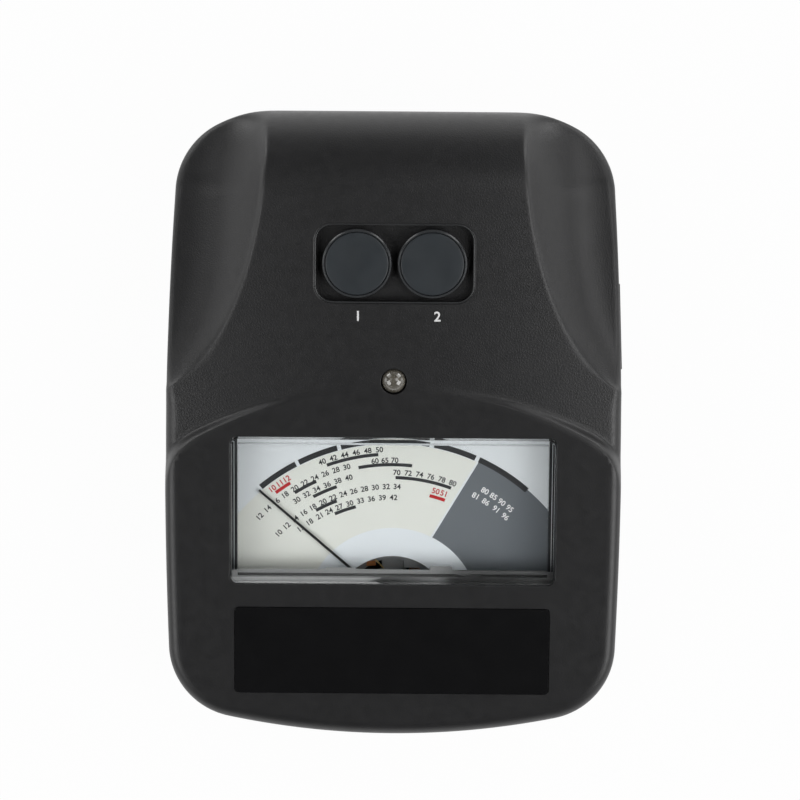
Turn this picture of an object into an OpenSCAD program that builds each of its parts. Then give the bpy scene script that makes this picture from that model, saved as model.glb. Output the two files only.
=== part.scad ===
// Table-top analogue gemstone tester with a sloping meter face and two push buttons.
// Millimetres, +Z up, front edge towards -Y, the table is at z = 0.
// Panel sizes ("along the panel") run up the sloping face from the middle of the body.

/* [Body] */
// Width across the sides at the widest point
body_w = 109.2; // [107.2:0.2:117.2]
// Length from front to back
body_l = 150.2; // [148.2:0.2:156.2]
// Height of the sloping face above the table at the front edge
front_h = 23; // [22.5:0.5:26]
// Slope of the face in degrees
face_tilt = 12; // [11.5:0.25:13]
// Thickness of the housing walls
wall = 2.4; // [2.2:0.1:2.6]
// Height of the seam between the two housings
seam_z = 15; // [14:0.5:16]
// Height of the lip that locates the two housings
lip_h = 1.4; // [1:0.1:1.4]
// Half the width of the straight part of the back edge
back_flat = 27; // [26:0.5:28]
// Radius of the rounded ends of the back edge in plan
back_shoulder_r = 35; // [32:1:40]
// Radius of the back corners in plan
back_corner_r = 18; // [16:0.5:20]
// Radius of the front corners in plan
front_corner_r = 18; // [16:1:20]
// Radius of the bowed front edge in plan
front_bow_r = 195; // [180:5:230]
// Radius of the bowed sides in plan
side_bow_r = 1200; // [1000:50:1600]
// Where the sides are widest, from the middle of the length
side_bow_y = -13; // [-16:1:-8]
// Radius of the rolled back edge
back_roll_r = 18; // [16:1:19]
// Radius of the crown across the top
crown_r = 430; // [400:10:520]

/* [Meter panel and grip scoops] */
// Distance in plan from the window's upper edge to the top of the panel's arched edge
arch_gap = 12.5; // [12.5:0.1:13.5]
// Radius of the arched edge in plan
arch_r = 104; // [103:1:110]
// Height of the panel above the crowned top at the middle
panel_step = 0.15; // [0.1:0.05:0.3]
// Distance between the two creases at their narrowest
crease_gap = 61.4; // [60:0.2:64]
// Half length of the oval that a crease follows in plan
crease_len = 63.2; // [62:0.2:65]
// Half width of that oval
crease_spread = 33; // [31:0.5:35]
// Where the creases are closest, from the middle of the length
crease_y = 68.7; // [67:0.1:70]
// Depth of a scoop for each millimetre of its width
scoop_ratio = 0.65; // [0.55:0.01:0.7]
// How strongly a scoop steepens towards its crease
scoop_curl = 3; // [2:0.1:3.2]
// Lowest height of the scooped shoulder
shoulder_z = 34; // [33:0.5:36]

/* [Meter] */
// Distance between the plate below and the window's lower edge
window_gap = 6.23; // [5.63:0.1:6.33]
// Width of the clear cover in the window
window_w = 77.2; // [74:0.2:77.4]
// Length of the clear cover in the window
window_l = 35.4; // [34:0.1:36]
// Height of the cover above the panel
cover_rise = 0.8; // [0.5:0.1:1.2]
// Thickness of the cover's sides
cover_wall = 1.5; // [1.2:0.1:1.6]
// Thickness of the cover's front and of its flange
cover_t = 1.5; // [1.3:0.1:1.6]
// Gap between the cover and its opening
cover_gap = 0.35; // [0.3:0.05:0.5]
// Distance from the middle of the window down to the needle's pivot
pivot_below = 24.95; // [24.15:0.2:25.95]
// Depth of the meter case behind the cover
case_depth = 16.6; // [16.6:0.1:17]
// Thickness of the case walls
case_wall = 1.6; // [1.4:0.1:1.8]
// Thickness of the dial plate
dial_t = 0.5; // [0.4:0.1:0.6]
// Radius of the notch in the dial plate
notch_r = 14; // [13.6:0.1:14.4]
// Distance from the middle of the window down to the middle of the notch
notch_below = 27.15; // [26.75:0.1:27.55]
// Length of the needle from its pivot
needle_len = 42.8; // [40:0.2:43]
// Width of the needle
needle_w = 0.65; // [0.5:0.05:0.8]
// Angle of the resting needle, to the left of straight up
needle_rest = 49; // [45:1:50]
// Radius of the magnet core
core_r = 7.5; // [7:0.1:7.6]
// Inner radius of the yoke ring
yoke_in = 10.5; // [10.4:0.1:10.7]
// Outer radius of the yoke ring
yoke_out = 13; // [12.8:0.1:13.2]
// Radius of the coil's pivots
pivot_r = 0.4; // [0.3:0.05:0.5]
// Running gap round a pivot
pivot_gap = 0.05; // [0.03:0.01:0.08]

/* [Plate below the window] */
// Distance from the front edge up to the middle of the plate
plate_from_front = 21; // [20.3:0.1:21.7]
// Width of the plate
plate_w = 75.7; // [70:0.1:80]
// Length of the plate
plate_l = 21.2; // [18:0.1:22]
// Thickness of the plate
plate_t = 0.4; // [0.3:0.1:0.6]

/* [Buttons and lamp] */
// Middle of the button pocket along the panel
buttons_at = 38.8; // [38:0.2:40]
// Distance between the two buttons
button_pitch = 17.8; // [17.5:0.1:18.3]
// Diameter of a button
button_d = 16.4; // [15:0.1:16.6]
// Travel of a button
button_travel = 1.2; // [0.8:0.1:1.4]
// Height of a button's rim above the top
button_rise = 0.3; // [0.2:0.1:0.6]
// Thickness of a button's rim
button_t = 1.6; // [1.4:0.1:1.6]
// Diameter of a button's stem
stem_d = 8; // [7.4:0.1:8]
// Running gap round a stem
stem_gap = 0.08; // [0.05:0.01:0.1]
// Width of the pocket
pocket_w = 37.8; // [37:0.2:39]
// Length of the pocket
pocket_l = 18.9; // [18.6:0.1:19.6]
// Depth of the pocket
pocket_depth = 2.9; // [2.8:0.1:3.1]
// Corner radius of the pocket
pocket_r = 4.2; // [3:0.1:5]
// Distance from the window's upper edge to the middle of the lamp
lamp_above = 14; // [13.6:0.1:14.6]
// Diameter of the lamp
lamp_d = 6; // [5:0.1:6]
// Gap round the lamp
lamp_gap = 0.1; // [0.1:0.05:0.3]

/* [Circuit board] */
// Depth of the board's upper face below the top
board_depth = 16; // [15.8:0.1:16.4]
// Width of the board
board_w = 62; // [60:1:64]
// Thickness of the board
board_t = 1.6; // [1.2:0.1:1.6]

/* [Power switch and sockets] */
// Where the switch sits, from the middle of the length
switch_y = 24; // [22:1:26]
// Height of the switch above the table
switch_z = 22.5; // [22:0.1:23]
// Length of the switch's bezel
switch_l = 15; // [14:0.1:16]
// Height of the switch's bezel
switch_h = 10.4; // [10:0.1:11]
// Swing of the rocker in degrees
rocker_swing = 14; // [10:1:14]
// Distance of each socket from the middle of the back
socket_x = 21.5; // [20:0.5:21.5]
// Height of the sockets above the table
socket_z = 24; // [23.5:0.1:24.5]
// Bore of the probe socket
probe_bore_d = 3.6; // [3.5:0.1:3.8]
// Bore of the power socket
power_bore_d = 5.6; // [5.4:0.1:6]

/* [Battery bay and feet] */
// Diameter of a cell
cell_d = 10.5; // [10.3:0.1:10.7]
// Length of a cell with its nub
cell_l = 44.5; // [44:0.1:45]
// Distance between two cells
cell_pitch = 10.9; // [10.8:0.1:11.2]
// Front end of the battery bay, from the middle of the length
bay_y = 18; // [17:0.5:19]
// Thickness of the battery door
door_t = 1.8; // [1.7:0.1:1.9]
// Gap round the battery door
door_gap = 0.3; // [0.25:0.05:0.35]
// Diameter of a rubber foot
foot_d = 11; // [9:0.5:12]
// Height of the base above the table
foot_h = 2; // [1.8:0.1:2.2]

/* [Hidden] */
$fn = 48;
half_w = body_w / 2;
half_l = body_l / 2;
face_z0 = front_h + half_l * tan(face_tilt);
sky = face_z0 + half_l;
roll_ease = 0.12;
roll_y = half_l - back_roll_r;
roll_z = face_z0 + roll_y * tan(face_tilt) - panel_step - (back_roll_r - roll_ease) / cos(face_tilt);
bow_c = [half_w - side_bow_r, side_bow_y];
front_c = [0, front_bow_r - half_l];
front_corner_c = meet(front_c, front_bow_r - front_corner_r, bow_c, side_bow_r - front_corner_r);
back_c = [back_flat, half_l - back_shoulder_r];
back_corner_c = meet(bow_c, side_bow_r - back_corner_r, back_c, back_shoulder_r - back_corner_r);

flange_n = -wall - cover_t;
case_n = flange_n - case_depth;
case_floor_n = case_n + 1.5;
case_x = window_w / 2 + 1.7;
plate_at = plate_from_front - half_l / cos(face_tilt);
window_at = plate_at + plate_l / 2 + window_gap + window_l / 2;
window_top = window_at + window_l / 2;
arch_y = window_top * cos(face_tilt) + arch_gap;
lamp_at = window_top + lamp_above;
pivot_v = window_at - pivot_below;
case_low_v = pivot_v - yoke_out - 2;
// Room for the tip of the needle at mid swing
case_top_v = max(window_top + 0.2, pivot_v + needle_len + 0.45 + case_wall);
dial_n = -9;
mask_t = 0.85;
coil_in = core_r + 0.6;
coil_out = yoke_in - 0.8;
coil_low_n = case_floor_n + 1.4;
coil_t = 0.8;
core_low_n = coil_low_n + coil_t + 0.4;
core_h = 4.8;
coil_top_n = core_low_n + core_h + 0.4 + coil_t;
needle_n = dial_n + 0.4;
needle_t = 0.4;
bridge_n = needle_n + 1.4;
bridge_t = 1;
yoke_top_n = core_low_n + core_h + 0.6;
ear_n = flange_n - 2.1;
ear_x = case_x + 3.7;
ear_v = [case_top_v - 9, case_low_v + 7];
post_r = 3;

pocket_n = -pocket_depth;
tray_n = pocket_n - 2.2;
guide_n = tray_n - 4.2;
spring_seat_n = tray_n - 0.8;
cap_n = button_rise - button_t;
pad_r = button_d / 2 - 0.55;
stem_r = stem_d / 2;
pill_t = 1.4;
pill_n = -board_depth + button_travel + 0.1;
button_x = [-button_pitch / 2, button_pitch / 2];
board_low_v = lamp_at - 8;
board_high_v = buttons_at + 21;
board_post_x = board_w / 2 - 3.6;
board_post_v = [board_low_v + 5, board_high_v - 6];

switch_x = side_x(switch_y);
switch_turn = asin((switch_y - side_bow_y) / side_bow_r);
bezel_t = 0.5;
rocker_x = -2;
key_rise = 1.15;
rocker_r = switch_l / 2 - 1.6;
rocker_h = switch_h - 3.2;

boss_r = 3.6;
boss_y = [-33, 44];
floor_z = foot_h + wall;
bay_w = 2 * cell_pitch + cell_d + 0.6;
bay_l = cell_l + 3.5;
bay_top = foot_h + door_t + 0.4 + cell_d + 0.5;
door_w = bay_w + 3.4;
door_y = bay_y - 3.7;
tongue = 1.2;
tongue_z = foot_h + 0.9;
cell_z = foot_h + door_t + 0.25 + cell_d / 2;
foot_sink = 0.4;
foot_x = half_w - 16;
foot_y = half_l - 16;

function leg(long, side) = sqrt(long * long - side * side);

// Point where two circles cross, on the left of the way from the first middle to the second
function meet(c1, r1, c2, r2) =
    let (d = norm(c2 - c1), a = (r1 * r1 - r2 * r2 + d * d) / (2 * d), e = (c2 - c1) / d)
    c1 + a * e + leg(r1, a) * [-e.y, e.x];

function bearing(from, to) = atan2(to.y - from.y, to.x - from.x);

function arc(c, r, a0, a1, n) =
    [for (i = [0:n - 1]) let (a = a0 + (a1 - a0) * i / n) c + r * [cos(a), sin(a)]];

// Right half of the plan outline, from the front to the back, moved in by inset
function outline_right(inset) =
    let (
        a1 = bearing(front_c, front_corner_c),
        a2 = bearing(bow_c, front_corner_c),
        a3 = bearing(bow_c, back_corner_c),
        a4 = bearing(back_c, back_corner_c)
    )
    concat(
        arc(front_c, front_bow_r - inset, -90, a1, 8),
        arc(front_corner_c, front_corner_r - inset, a1, a2, 9),
        arc(bow_c, side_bow_r - inset, a2, a3, 8),
        arc(back_corner_c, back_corner_r - inset, a3, a4, 8),
        arc(back_c, back_shoulder_r - inset, a4, 90, 4),
        [[back_flat, half_l - inset]]
    );

function outline(inset) =
    let (right = outline_right(inset), n = len(right))
    concat(right, [for (i = [n - 1:-1:1]) [-right[i].x, right[i].y]]);

function side_x(y) = bow_c.x + leg(side_bow_r, y - side_bow_y);
function face_z(y) = face_z0 + y * tan(face_tilt);
function rolled_z(y) = roll_z + leg(back_roll_r, min(y, half_l) - roll_y);
function top_z(y) = y < roll_y ? face_z(y) - panel_step : min(face_z(y) - panel_step, rolled_z(y));
function crown_at(x) = crown_r - leg(crown_r, x);
function crease_x(y) = crease_gap / 2 + crease_spread * (1 - leg(1, (y - crease_y) / crease_len));
function crease_z(y) = top_z(y) - crown_at(crease_x(y));
function scoop_w(y) = side_x(min(y, half_l)) - crease_x(y);
function scoop_d(y) = max(0.05, min(crease_z(y) - shoulder_z, scoop_ratio * scoop_w(y)));
function cove(q) = 1 - pow(1 - min(q, 1), scoop_curl);
function flank_z(x, y) = crease_z(y) - scoop_d(y) * cove((x - crease_x(y)) / scoop_w(y));

// Moves its children to the sloping face
module on_face(v = 0, n = 0) {
    translate([0, 0, face_z0]) rotate([face_tilt, 0, 0]) translate([0, v, n]) children();
}

// Moves its children to the needle's pivot, at the height of the face
module on_pivot(n = 0) {
    on_face(pivot_v, n) children();
}

module plan_block(inset, z0, z1) {
    translate([0, 0, z0]) linear_extrude(z1 - z0) polygon(outline(inset));
}

module box(x0, x1, y0, y1, z0, z1) {
    translate([x0, y0, z0]) cube([x1 - x0, y1 - y0, z1 - z0]);
}

module rod(r, z0, z1) {
    translate([0, 0, z0]) cylinder(r = r, h = z1 - z0);
}

module round_plate(w, l, r, z0, z1) {
    translate([0, 0, z0]) linear_extrude(z1 - z0) union() {
        square([w - 2 * r, l], center = true);
        square([w, l - 2 * r], center = true);
        for (x = [-1, 1], y = [-1, 1]) translate([x * (w / 2 - r), y * (l / 2 - r)]) circle(r);
    }
}

// Crowned top with the rolled back edge
module crowned_form(inset, z0) {
    r = back_roll_r - inset;
    intersection() {
        plan_block(inset, z0, sky);
        on_face(0, -crown_r - panel_step) rotate([90, 0, 0])
            cylinder(r = crown_r - inset, h = 3 * body_l, center = true, $fn = 240);
        rotate([90, 0, 90]) linear_extrude(2 * body_w, center = true) union() {
            translate([-body_l, 0]) square([body_l + roll_y - r * sin(face_tilt), sky]);
            translate([-body_l, 0]) square([body_l + roll_y + r - 0.01, roll_z]);
            translate([roll_y, roll_z]) circle(r, $fn = 72);
        }
    }
}

// Flat meter panel with its arched back edge
module panel_form(inset, z0) {
    intersection() {
        plan_block(inset, z0, sky);
        translate([0, arch_y - arch_r, 0]) cylinder(r = arch_r - inset / 2, h = sky, $fn = 144);
        on_face() box(-body_w, body_w, -2 * body_l, body_l, -body_l, -inset);
    }
}

// Solid that cuts the right-hand scoop, grown by the wall for the inside
module scoop_cutter(grow) {
    steps = 14;
    ribs = 10;
    out_x = half_w + 8;
    y0 = crease_y - crease_len * leg(1, 1 - (half_w - 1.2 - crease_gap / 2) / crease_spread);
    y1 = half_l + 2;
    rows = [for (j = [0:steps])
        let (
            y = y1 - (y1 - y0) * pow(1 - j / steps, 1.6),
            w = scoop_w(y),
            x = crease_x(y) - grow,
            z = crease_z(y) - 1.2 * grow
        )
        concat(
            [for (i = [0:ribs])
                let (q = -0.12 + 1.12 * i / ribs)
                [x + q * w, y - grow, z - scoop_d(y) * cove(q)]],
            [
                [out_x, y - grow, z - scoop_d(y)],
                [out_x, y - grow, sky],
                [x - 0.12 * w, y - grow, sky]
            ]
        )];
    n = ribs + 4;
    points = [for (row = rows) each row];
    sides = [for (j = [0:steps - 1], i = [0:n - 1])
        let (a = j * n + i, b = j * n + (i + 1) % n)
        each [[a, b, a + n], [b, b + n, a + n]]];
    last = steps * n;
    ends = [for (i = [1:n - 2]) each [[0, i + 1, i], [last, last + i, last + i + 1]]];
    polyhedron(points, concat(sides, ends));
}

module top_form(inset, z0) {
    difference() {
        union() {
            crowned_form(inset, z0);
            panel_form(inset, z0);
        }
        scoop_cutter(inset);
        mirror([1, 0, 0]) scoop_cutter(inset);
    }
}

module at_bosses() {
    for (s = [-1, 1], y = boss_y) translate([s * (side_x(y) - wall - boss_r + 0.4), y, 0]) children();
}

module at_feet() {
    for (x = [-foot_x, foot_x], y = [-foot_y, foot_y]) translate([x, y, 0]) children();
}

module at_ears() {
    for (x = [-ear_x, ear_x], v = ear_v) on_face(v) translate([x, 0, 0]) children();
}

module at_board_posts() {
    for (x = [-board_post_x, board_post_x], v = board_post_v) on_face(v) translate([x, 0, 0]) children();
}

module at_buttons() {
    for (x = button_x) on_face(buttons_at) translate([x, 0, 0]) children();
}

// Local +X points out of the right-hand wall
module on_switch() {
    translate([switch_x, switch_y, switch_z]) rotate([0, 0, switch_turn]) children();
}

// Local +Z points out of the back wall
module on_socket(side) {
    translate([side * socket_x, half_l, socket_z]) rotate([-90, 0, 0]) children();
}

module top_housing() {
    color([0.16, 0.16, 0.17]) difference() {
        union() {
            difference() {
                top_form(0, seam_z);
                top_form(wall, seam_z - 1);
            }
            for (s = [-1, 1], y = boss_y) {
                top = y < arch_y ? face_z(y) - 0.75 * wall : flank_z(side_x(y) - 8, y) - wall;
                translate([s * (side_x(y) - wall - boss_r + 0.4), y, 0]) rod(boss_r, seam_z, top);
            }
            at_ears() rod(post_r, ear_n, -wall + 0.6);
            at_board_posts() rod(post_r, -board_depth, -wall + 0.3);
            on_face(buttons_at) round_plate(pocket_w + 3.6, pocket_l + 3.6, pocket_r + 1.8, tray_n, -1.6);
            at_buttons() rod(7, guide_n, tray_n + 0.5);
        }
        on_face(window_at)
            round_plate(window_w + 2 * cover_gap, window_l + 2 * cover_gap, 1.4 + cover_gap, -2 * wall, 2);
        on_face(plate_at) round_plate(plate_w + 0.2, plate_l + 0.2, 1.1, -0.25, 2);
        on_face(buttons_at) round_plate(pocket_w, pocket_l, pocket_r, pocket_n, 3);
        at_buttons() rod(stem_r + stem_gap, guide_n - 1, 1);
        at_buttons() rod(6.3, spring_seat_n, 1);
        on_face(lamp_at) rod(lamp_d / 2 + lamp_gap, -3 * wall, 3);
        at_ears() rod(1, ear_n - 1, -wall - 0.5);
        at_board_posts() rod(0.9, -board_depth - 1, -board_depth + 8);
        at_bosses() rod(1.45, seam_z - 1, seam_z + 10);
        on_switch() box(-3 * wall, 3, -switch_l / 2 + 0.8, switch_l / 2 - 0.8,
            -switch_h / 2 + 0.8, switch_h / 2 - 0.8);
        on_socket(-1) rod(4, -3 * wall, 2);
        on_socket(1) rod(5, -3 * wall, 2);
        difference() {
            plan_block(wall / 2, seam_z - 1, seam_z + lip_h + 0.2);
            plan_block(wall, seam_z - 2, seam_z + lip_h + 1);
            at_bosses() rod(boss_r + 1, seam_z - 2, seam_z + lip_h + 1);
        }
    }
}

module bottom_housing() {
    bay_x = bay_w / 2 + 1.6;
    slot_x = door_w / 2 + door_gap;
    slot_top = foot_h + door_t + 0.15;
    pad_x = slot_x + tongue + 1.6;
    color([0.15, 0.15, 0.16]) difference() {
        union() {
            difference() {
                plan_block(0, foot_h, seam_z);
                plan_block(wall, floor_z, seam_z + 1);
            }
            difference() {
                plan_block(wall / 2 + 0.2, seam_z - 1.5, seam_z + lip_h);
                plan_block(wall, seam_z - 2, seam_z + lip_h + 1);
                at_bosses() rod(boss_r + 1.3, seam_z, seam_z + lip_h + 1);
            }
            at_bosses() rod(boss_r, floor_z - 1, seam_z);
            box(-pad_x, pad_x, door_y - 1.8, half_l - wall / 2, floor_z - 1, floor_z + 1.1);
            box(-bay_x, bay_x, bay_y - 1.6, bay_y + bay_l + 1.6, floor_z, bay_top + 1.6);
        }
        box(-bay_w / 2, bay_w / 2, bay_y, bay_y + bay_l, 0, bay_top);
        box(-slot_x, slot_x, door_y - door_gap, half_l + 1, 0, slot_top);
        box(-slot_x - tongue, slot_x + tongue, door_y - door_gap, half_l + 1, tongue_z - 0.1, slot_top);
        at_bosses() rod(1.6, 0, seam_z + 1);
        at_bosses() rod(3.1, 0, foot_h + 5);
        at_feet() rod(foot_d / 2 + 0.1, 0, foot_h + foot_sink);
    }
}

module battery_door() {
    y1 = half_l - 0.1;
    color([0.19, 0.19, 0.2]) difference() {
        union() {
            box(-door_w / 2, door_w / 2, door_y, y1, foot_h, foot_h + door_t);
            box(-door_w / 2 - tongue, door_w / 2 + tongue, door_y, y1, tongue_z, foot_h + door_t);
        }
        for (i = [0:4]) box(-9, 9, y1 - 14 + 2 * i, y1 - 13 + 2 * i, foot_h - 1, foot_h + 0.5);
    }
}

module housing_screws() {
    color([0.7, 0.7, 0.72]) at_bosses() difference() {
        union() {
            rod(2.8, foot_h + 3, foot_h + 5);
            rod(1.4, foot_h + 5, seam_z + 9);
        }
        box(-1.7, 1.7, -0.35, 0.35, foot_h + 2, foot_h + 4);
        box(-0.35, 0.35, -1.7, 1.7, foot_h + 2, foot_h + 4);
    }
}

module rubber_feet() {
    color([0.1, 0.1, 0.1]) at_feet() rod(foot_d / 2, 0, foot_h + foot_sink);
}

module face_plate() {
    color([0.05, 0.05, 0.05]) on_face(plate_at) round_plate(plate_w, plate_l, 1, -0.25, plate_t - 0.25);
}

module meter_cover() {
    color([0.8, 0.85, 0.88, 0.4]) difference() {
        union() {
            on_face(window_at) round_plate(window_w, window_l, 1.4, flange_n, cover_rise);
            on_face() box(-case_x, case_x, case_low_v, case_top_v, flange_n, -wall);
        }
        on_face(window_at) box(-window_w / 2 + cover_wall, window_w / 2 - cover_wall,
            -window_l / 2 + cover_wall, window_l / 2 - cover_wall, flange_n - 1, cover_rise - cover_t);
    }
}

module meter_case() {
    in_x = case_x - case_wall;
    low = case_low_v + case_wall;
    high = case_top_v - case_wall;
    color([0.12, 0.12, 0.13]) difference() {
        union() {
            difference() {
                on_face() box(-case_x, case_x, case_low_v, case_top_v, case_n, flange_n);
                on_face() box(-in_x, in_x, low, high, case_floor_n, 0);
            }
            for (s = [-1, 1]) on_face() {
                translate([s * (in_x - 1.2), 0, 0])
                    box(-1.3, 1.3, pivot_v + 3, high + 0.1, case_n + 1, dial_n - dial_t);
                translate([s * (in_x - 0.3), 0, 0])
                    box(-0.5, 0.5, low - 0.1, window_at - window_l / 2 + cover_wall,
                        dial_n + 3, flange_n - mask_t);
            }
            for (s = [0, 1], v = ear_v) mirror([s, 0, 0]) on_face(v, ear_n - 2) {
                translate([ear_x, 0, 0]) cylinder(r = 3.2, h = 2);
                box(case_x - 0.5, ear_x, -3.2, 3.2, 0, 2);
            }
        }
        at_ears() rod(1.15, ear_n - 3, ear_n + 1);
        on_pivot() rod(1.8, case_n - 1, case_floor_n + 1);
        for (x = [-14, 14]) on_face(window_at + 7)
            translate([x, 0, 0]) rod(1.5, case_n - 1, case_floor_n + 1);
        for (s = [-1, 1]) on_face(pivot_v + 6)
            translate([s * (in_x - 1.2), 0, 0]) rod(0.55, dial_n - 5, dial_n + 1);
    }
}

module meter_screws() {
    color([0.7, 0.7, 0.72]) at_ears() difference() {
        union() {
            rod(1.8, ear_n - 3.4, ear_n - 2);
            rod(0.95, ear_n - 2, -wall - 0.8);
        }
        box(-1.1, 1.1, -0.25, 0.25, ear_n - 4, ear_n - 2.9);
    }
}

module dial_plate() {
    x = case_x - case_wall - 0.3;
    color([0.86, 0.87, 0.87]) difference() {
        on_face() box(-x, x, pivot_v + 3.2, case_top_v - case_wall - 0.2, dial_n - dial_t, dial_n);
        on_face(window_at - notch_below) rod(notch_r, dial_n - 2, dial_n + 2);
        for (s = [-1, 1]) on_face(pivot_v + 6)
            translate([s * (case_x - case_wall - 1.2), 0, 0]) rod(0.7, dial_n - 2, dial_n + 2);
    }
}

module dial_screws() {
    color([0.75, 0.68, 0.45]) for (s = [-1, 1]) on_face(pivot_v + 6)
        translate([s * (case_x - case_wall - 1.2), 0, 0]) {
            rod(0.9, dial_n, dial_n + 0.6);
            rod(0.5, dial_n - 4, dial_n);
        }
}

module mask_plate() {
    x = case_x - case_wall - 0.1;
    edge = window_at - window_l / 2 + cover_wall + 0.85;
    color([0.2, 0.21, 0.22]) on_face() {
        box(-x, x, case_low_v + case_wall + 0.1, edge, flange_n - mask_t, flange_n);
        box(-16, -9, edge - 1, edge + 0.35, flange_n - mask_t, flange_n);
        box(9.1, 14.4, edge - 1, edge + 0.9, flange_n - mask_t, flange_n);
    }
}

module yoke_ring() {
    color([0.55, 0.55, 0.57]) on_pivot() difference() {
        rod(yoke_out, case_floor_n, yoke_top_n);
        rod(yoke_in, case_floor_n - 1, yoke_top_n + 1);
    }
}

module magnet_core() {
    color([0.35, 0.35, 0.38]) on_pivot() rod(core_r, core_low_n, core_low_n + core_h);
}

module core_supports() {
    color([0.75, 0.65, 0.35]) on_pivot() intersection() {
        difference() {
            rod(yoke_in, core_low_n + 0.6, core_low_n + core_h - 0.6);
            rod(core_r, core_low_n, core_low_n + core_h);
        }
        box(-2.6, 2.6, -yoke_out, yoke_out, core_low_n, core_low_n + core_h);
    }
}

module bearing_bridge() {
    x = (yoke_in + yoke_out) / 2;
    color([0.62, 0.6, 0.5]) on_pivot() difference() {
        union() {
            box(-x - 1.1, x + 1.1, -2.4, 2.4, bridge_n, bridge_n + bridge_t);
            for (s = [-1, 1]) box(s * x - 1.1, s * x + 1.1, -2.4, 2.4, yoke_top_n, bridge_n + 0.5);
        }
        rod(1.5, bridge_n - 1, bridge_n + bridge_t + 1);
    }
}

module jewel_screws() {
    color([0.8, 0.66, 0.3]) on_pivot() {
        difference() {
            rod(1.5, bridge_n, bridge_n + bridge_t + 0.6);
            rod(pivot_r + pivot_gap, bridge_n - 1, bridge_n + 0.8);
            box(-2, 2, -0.2, 0.2, bridge_n + bridge_t + 0.2, bridge_n + bridge_t + 2);
        }
        difference() {
            rod(1.8, case_n, case_floor_n + 0.8);
            rod(pivot_r + pivot_gap, case_floor_n + 0.2, case_floor_n + 2);
        }
    }
}

module stop_pins() {
    x = (yoke_in + yoke_out) / 2;
    off = asin((needle_w / 2 + 0.5 + 0.15) / x);
    color([0.8, 0.68, 0.35]) on_pivot() for (s = [-1, 1])
        rotate([0, 0, 90 + s * (needle_rest + off)]) translate([x, 0, 0])
            rod(0.5, yoke_top_n, needle_n + needle_t + 0.4);
}

module moving_coil() {
    color([0.72, 0.38, 0.2]) on_pivot() rotate([0, 0, needle_rest]) difference() {
        box(-coil_out, coil_out, -1.2, 1.2, coil_low_n, coil_top_n);
        box(-coil_in, coil_in, -2, 2, coil_low_n + coil_t, coil_top_n - coil_t);
    }
}

module coil_pivots() {
    color([0.8, 0.8, 0.82]) on_pivot() {
        rod(pivot_r, case_floor_n + 0.3, coil_low_n);
        rod(pivot_r, coil_top_n, bridge_n + 0.7);
    }
}

module needle() {
    color([0.12, 0.12, 0.13]) on_pivot(needle_n) rotate([0, 0, needle_rest]) difference() {
        union() {
            rod(1.6, 0, needle_t);
            rod(1.2, 0, bridge_n - needle_n - 0.3);
            linear_extrude(needle_t) polygon([
                [-needle_w / 2, 0], [needle_w / 2, 0],
                [needle_w * 0.4, needle_len], [-needle_w * 0.4, needle_len]]);
            for (a = [90, 180, 270]) rotate([0, 0, a]) box(-0.3, 0.3, 0, 7.4, 0, needle_t);
        }
        rod(pivot_r, -1, 3);
    }
}

module balance_weights() {
    color([0.8, 0.68, 0.35]) on_pivot(needle_n) rotate([0, 0, needle_rest]) for (a = [90, 180, 270])
        rotate([0, 0, a]) translate([0, 6.2, 0]) rod(0.9, needle_t, needle_t + (a == 180 ? 0.6 : 0.4));
}

module meter_terminals() {
    color([0.8, 0.66, 0.3]) for (x = [-14, 14]) on_face(window_at + 7) translate([x, 0, 0]) {
        rod(1.5, case_n - 5, case_floor_n);
        rod(2.6, case_floor_n, case_floor_n + 0.8);
    }
}

module terminal_nuts() {
    color([0.82, 0.7, 0.36]) for (x = [-14, 14]) on_face(window_at + 7) translate([x, 0, 0]) difference() {
        translate([0, 0, case_n - 2]) cylinder(r = 3, h = 2, $fn = 6);
        rod(1.5, case_n - 3, case_n + 1);
    }
}

// Cap with a rim round the sunk face, and the stem that runs in the housing's guide
module button_cap(i) {
    color([0.1, 0.1, 0.11]) on_face(buttons_at) translate([button_x[i], 0, 0]) difference() {
        union() {
            rod(button_d / 2, cap_n, button_rise - 0.3);
            translate([0, 0, button_rise - 0.3])
                cylinder(r1 = button_d / 2, r2 = button_d / 2 - 0.3, h = 0.3);
            rod(stem_r, pill_n + pill_t, cap_n + 0.1);
        }
        rod(pad_r, button_rise - 0.7, button_rise + 1);
        difference() {
            rod(stem_r + 1, guide_n - 0.7, guide_n - 0.1);
            rod(stem_r - 0.5, guide_n - 1, guide_n);
        }
    }
}

// Slate-coloured face of a button, slightly domed
module button_face(i) {
    r = pad_r - 0.15;
    color([0.32, 0.35, 0.38]) on_face(buttons_at) translate([button_x[i], 0, 0]) {
        rod(r, button_rise - 0.7, button_rise - 0.1);
        translate([0, 0, button_rise - 0.1]) cylinder(r1 = r, r2 = r - 1.4, h = 0.2);
    }
}

// Return spring round the stem, one tube of six sides
module button_spring(i) {
    turns = 3;
    rings = 8 * turns;
    wire = 0.3;
    mean = (stem_r + 6.3) / 2;
    low = spring_seat_n + wire;
    rise = cap_n - spring_seat_n - 2 * wire - 0.04;
    echo(str("least gap between spring turns: ", rise / turns - 2 * wire));
    points = [for (j = [0:rings], k = [0:5])
        let (a = 360 * j * turns / rings, r = mean + wire * cos(60 * k))
        [r * cos(a), r * sin(a), low + 0.02 + rise * j / rings + wire * sin(60 * k)]];
    sides = [for (j = [0:rings - 1], k = [0:5])
        let (a = 6 * j + k, b = 6 * j + (k + 1) % 6)
        each [[a, b, a + 6], [b, b + 6, a + 6]]];
    ends = [for (k = [1:4]) each [[0, k + 1, k], [6 * rings, 6 * rings + k, 6 * rings + k + 1]]];
    color([0.75, 0.75, 0.77]) on_face(buttons_at) translate([button_x[i], 0, 0])
        polyhedron(points, concat(sides, ends));
}

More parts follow.
